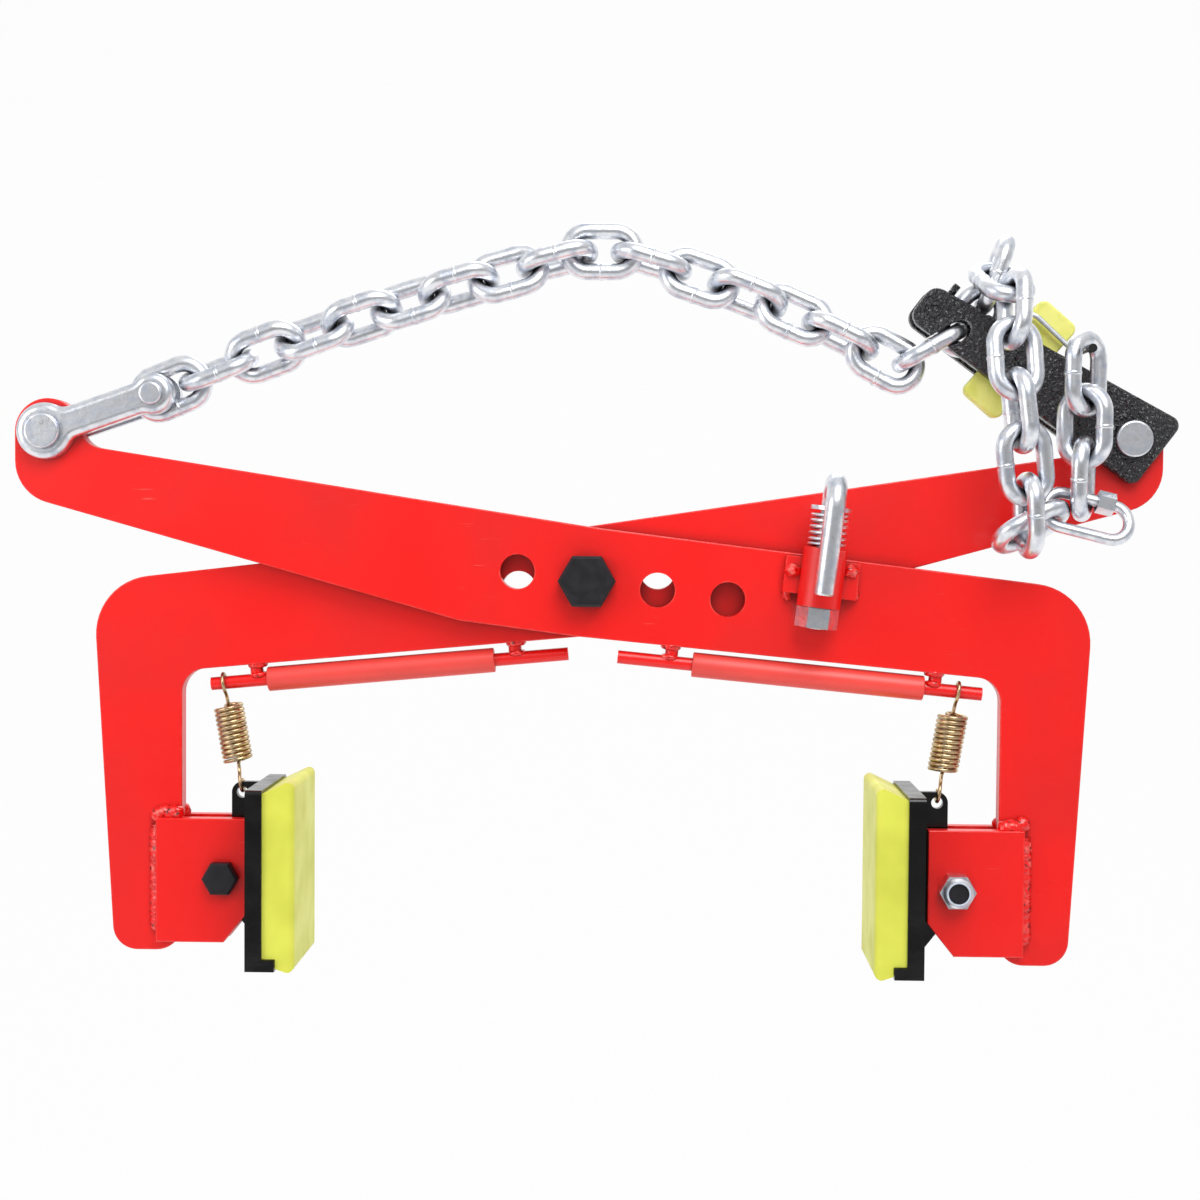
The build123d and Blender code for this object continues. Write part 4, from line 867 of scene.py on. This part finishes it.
def add_paper():
    """Paper that lies under the clamp and curves up behind it."""
    line = [(PAPER_FRONT, 0), (PAPER_BACK, 0)]
    for i in range(1, PAPER_STEPS + 1):
        turn = math.pi / 2 * i / PAPER_STEPS
        line.append((PAPER_BACK + PAPER_BEND * math.sin(turn), PAPER_BEND * (1 - math.cos(turn))))
    line.append((PAPER_BACK + PAPER_BEND, PAPER_TALL))
    floor = CAD_BOX[0].z - FLOOR_DROP
    shape = bmesh.new()
    verts = [shape.verts.new((-PAPER_WIDE, depth, floor + rise)) for depth, rise in line]
    edges = [shape.edges.new(pair) for pair in zip(verts, verts[1:])]
    grown = bmesh.ops.extrude_edge_only(shape, edges=edges)["geom"]
    bmesh.ops.translate(
        shape, verts=[g for g in grown if isinstance(g, bmesh.types.BMVert)],
        vec=(2 * PAPER_WIDE, 0, 0),
    )
    add_piece("paper_sweep", shape, "white_paper")


def light_room(scene, stage):
    """A room bright overhead and behind and dark in front, which gives the metal its contrast."""
    world = bpy.data.worlds.new("studio")
    scene.world = world
    world.use_nodes = True
    tree = world.node_tree
    way = node(tree, "TexCoord").outputs["Generated"]
    rise = node(
        tree, "VectorMath", {0: way, 1: (0, 0.6, 0.8)}, operation="DOT_PRODUCT"
    ).outputs["Value"]
    room = node(
        tree, "MapRange",
        {
            "Value": rise, "From Min": -0.7, "From Max": 0.8,
            "To Min": ROOM_FRONT * stage.dome, "To Max": ROOM_TOP * stage.dome,
        },
    ).outputs["Result"]
    background = tree.nodes["Background"]
    background.inputs["Color"].default_value = (1, 1, 1, 1)
    tree.links.new(room, background.inputs["Strength"])


def add_lamps(scene, stage):
    """Soft round lamps that face the middle of the picture."""
    for name, spot, size, power in LAMPS:
        data = bpy.data.lights.new(name, "AREA")
        data.shape = "DISK"
        data.size = size
        data.energy = getattr(stage, power)
        lamp = bpy.data.objects.new(name, data)
        lamp.location = spot
        facing = Vector(stage.aim) - Vector(spot)
        lamp.rotation_euler = facing.to_track_quat("-Z", "Y").to_euler()
        scene.collection.objects.link(lamp)


def add_camera(scene, stage):
    """A camera at the photograph's place, turn and lens."""
    a, e, r = stage.azimuth, stage.elevation, stage.roll
    back = Vector((math.sin(a) * math.cos(e), -math.cos(a) * math.cos(e), math.sin(e)))
    level = Vector((math.cos(a), math.sin(a), 0))
    right = level * math.cos(r) + back.cross(level) * math.sin(r)
    data = bpy.data.cameras.new("photograph")
    data.sensor_width = SENSOR_WIDE
    data.lens = stage.lens
    data.clip_start = 0.05
    camera = bpy.data.objects.new("photograph", data)
    turn = Matrix((right, back.cross(right), back)).transposed().to_4x4()
    camera.matrix_world = Matrix.Translation(Vector(stage.aim) + back * stage.distance) @ turn
    scene.collection.objects.link(camera)
    scene.camera = camera


class CLAMP_OT_stage(bpy.types.Operator):
    """Set the floor, the backdrop, the lamps and the camera"""

    bl_idname = "clamp.stage"
    bl_label = "Stage"

    def execute(self, context):
        scene = context.scene
        scene.view_settings.view_transform = "Standard"
        white_paper(scene.clamp_colours)
        add_paper()
        for prepare in (light_room, add_lamps, add_camera):
            prepare(scene, scene.clamp_stage)
        return {"FINISHED"}


class CLAMP_PT_panel(bpy.types.Panel):
    """Lists the steps and the values that a user may change"""

    bl_idname = "CLAMP_PT_panel"
    bl_label = "Slab lifting clamp"
    bl_space_type = "VIEW_3D"
    bl_region_type = "UI"
    bl_category = "Clamp"

    def draw(self, context):
        for step in STEPS:
            self.layout.operator(step.bl_idname)
        scene = context.scene
        for group in (scene.clamp_colours, scene.clamp_sizes, scene.clamp_stage):
            for name in group.__annotations__:
                self.layout.prop(group, name)


STEPS = (
    CLAMP_OT_finishes,
    CLAMP_OT_jaw_welds,
    CLAMP_OT_tube_welds,
    CLAMP_OT_stub_welds,
    CLAMP_OT_lock_rings,
    CLAMP_OT_springs,
    CLAMP_OT_pivot_thread,
    CLAMP_OT_link_welds,
    CLAMP_OT_stage,
)
CLASSES = (ClampColours, ClampSizes, ClampStage, *STEPS, CLAMP_PT_panel)


def register():
    """Register the classes and put their values on the scene."""
    for made in CLASSES:
        bpy.utils.register_class(made)
    bpy.types.Scene.clamp_colours = PointerProperty(type=ClampColours)
    bpy.types.Scene.clamp_sizes = PointerProperty(type=ClampSizes)
    bpy.types.Scene.clamp_stage = PointerProperty(type=ClampStage)


def unregister():
    """Take the values and the classes away again."""
    del bpy.types.Scene.clamp_colours, bpy.types.Scene.clamp_sizes, bpy.types.Scene.clamp_stage
    for made in reversed(CLASSES):
        bpy.utils.unregister_class(made)


def main():
    """Register the add-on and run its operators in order."""
    register()
    for step in STEPS:
        getattr(bpy.ops.clamp, step.bl_idname.split(".")[1])()


if __name__ == "__main__":
    main()
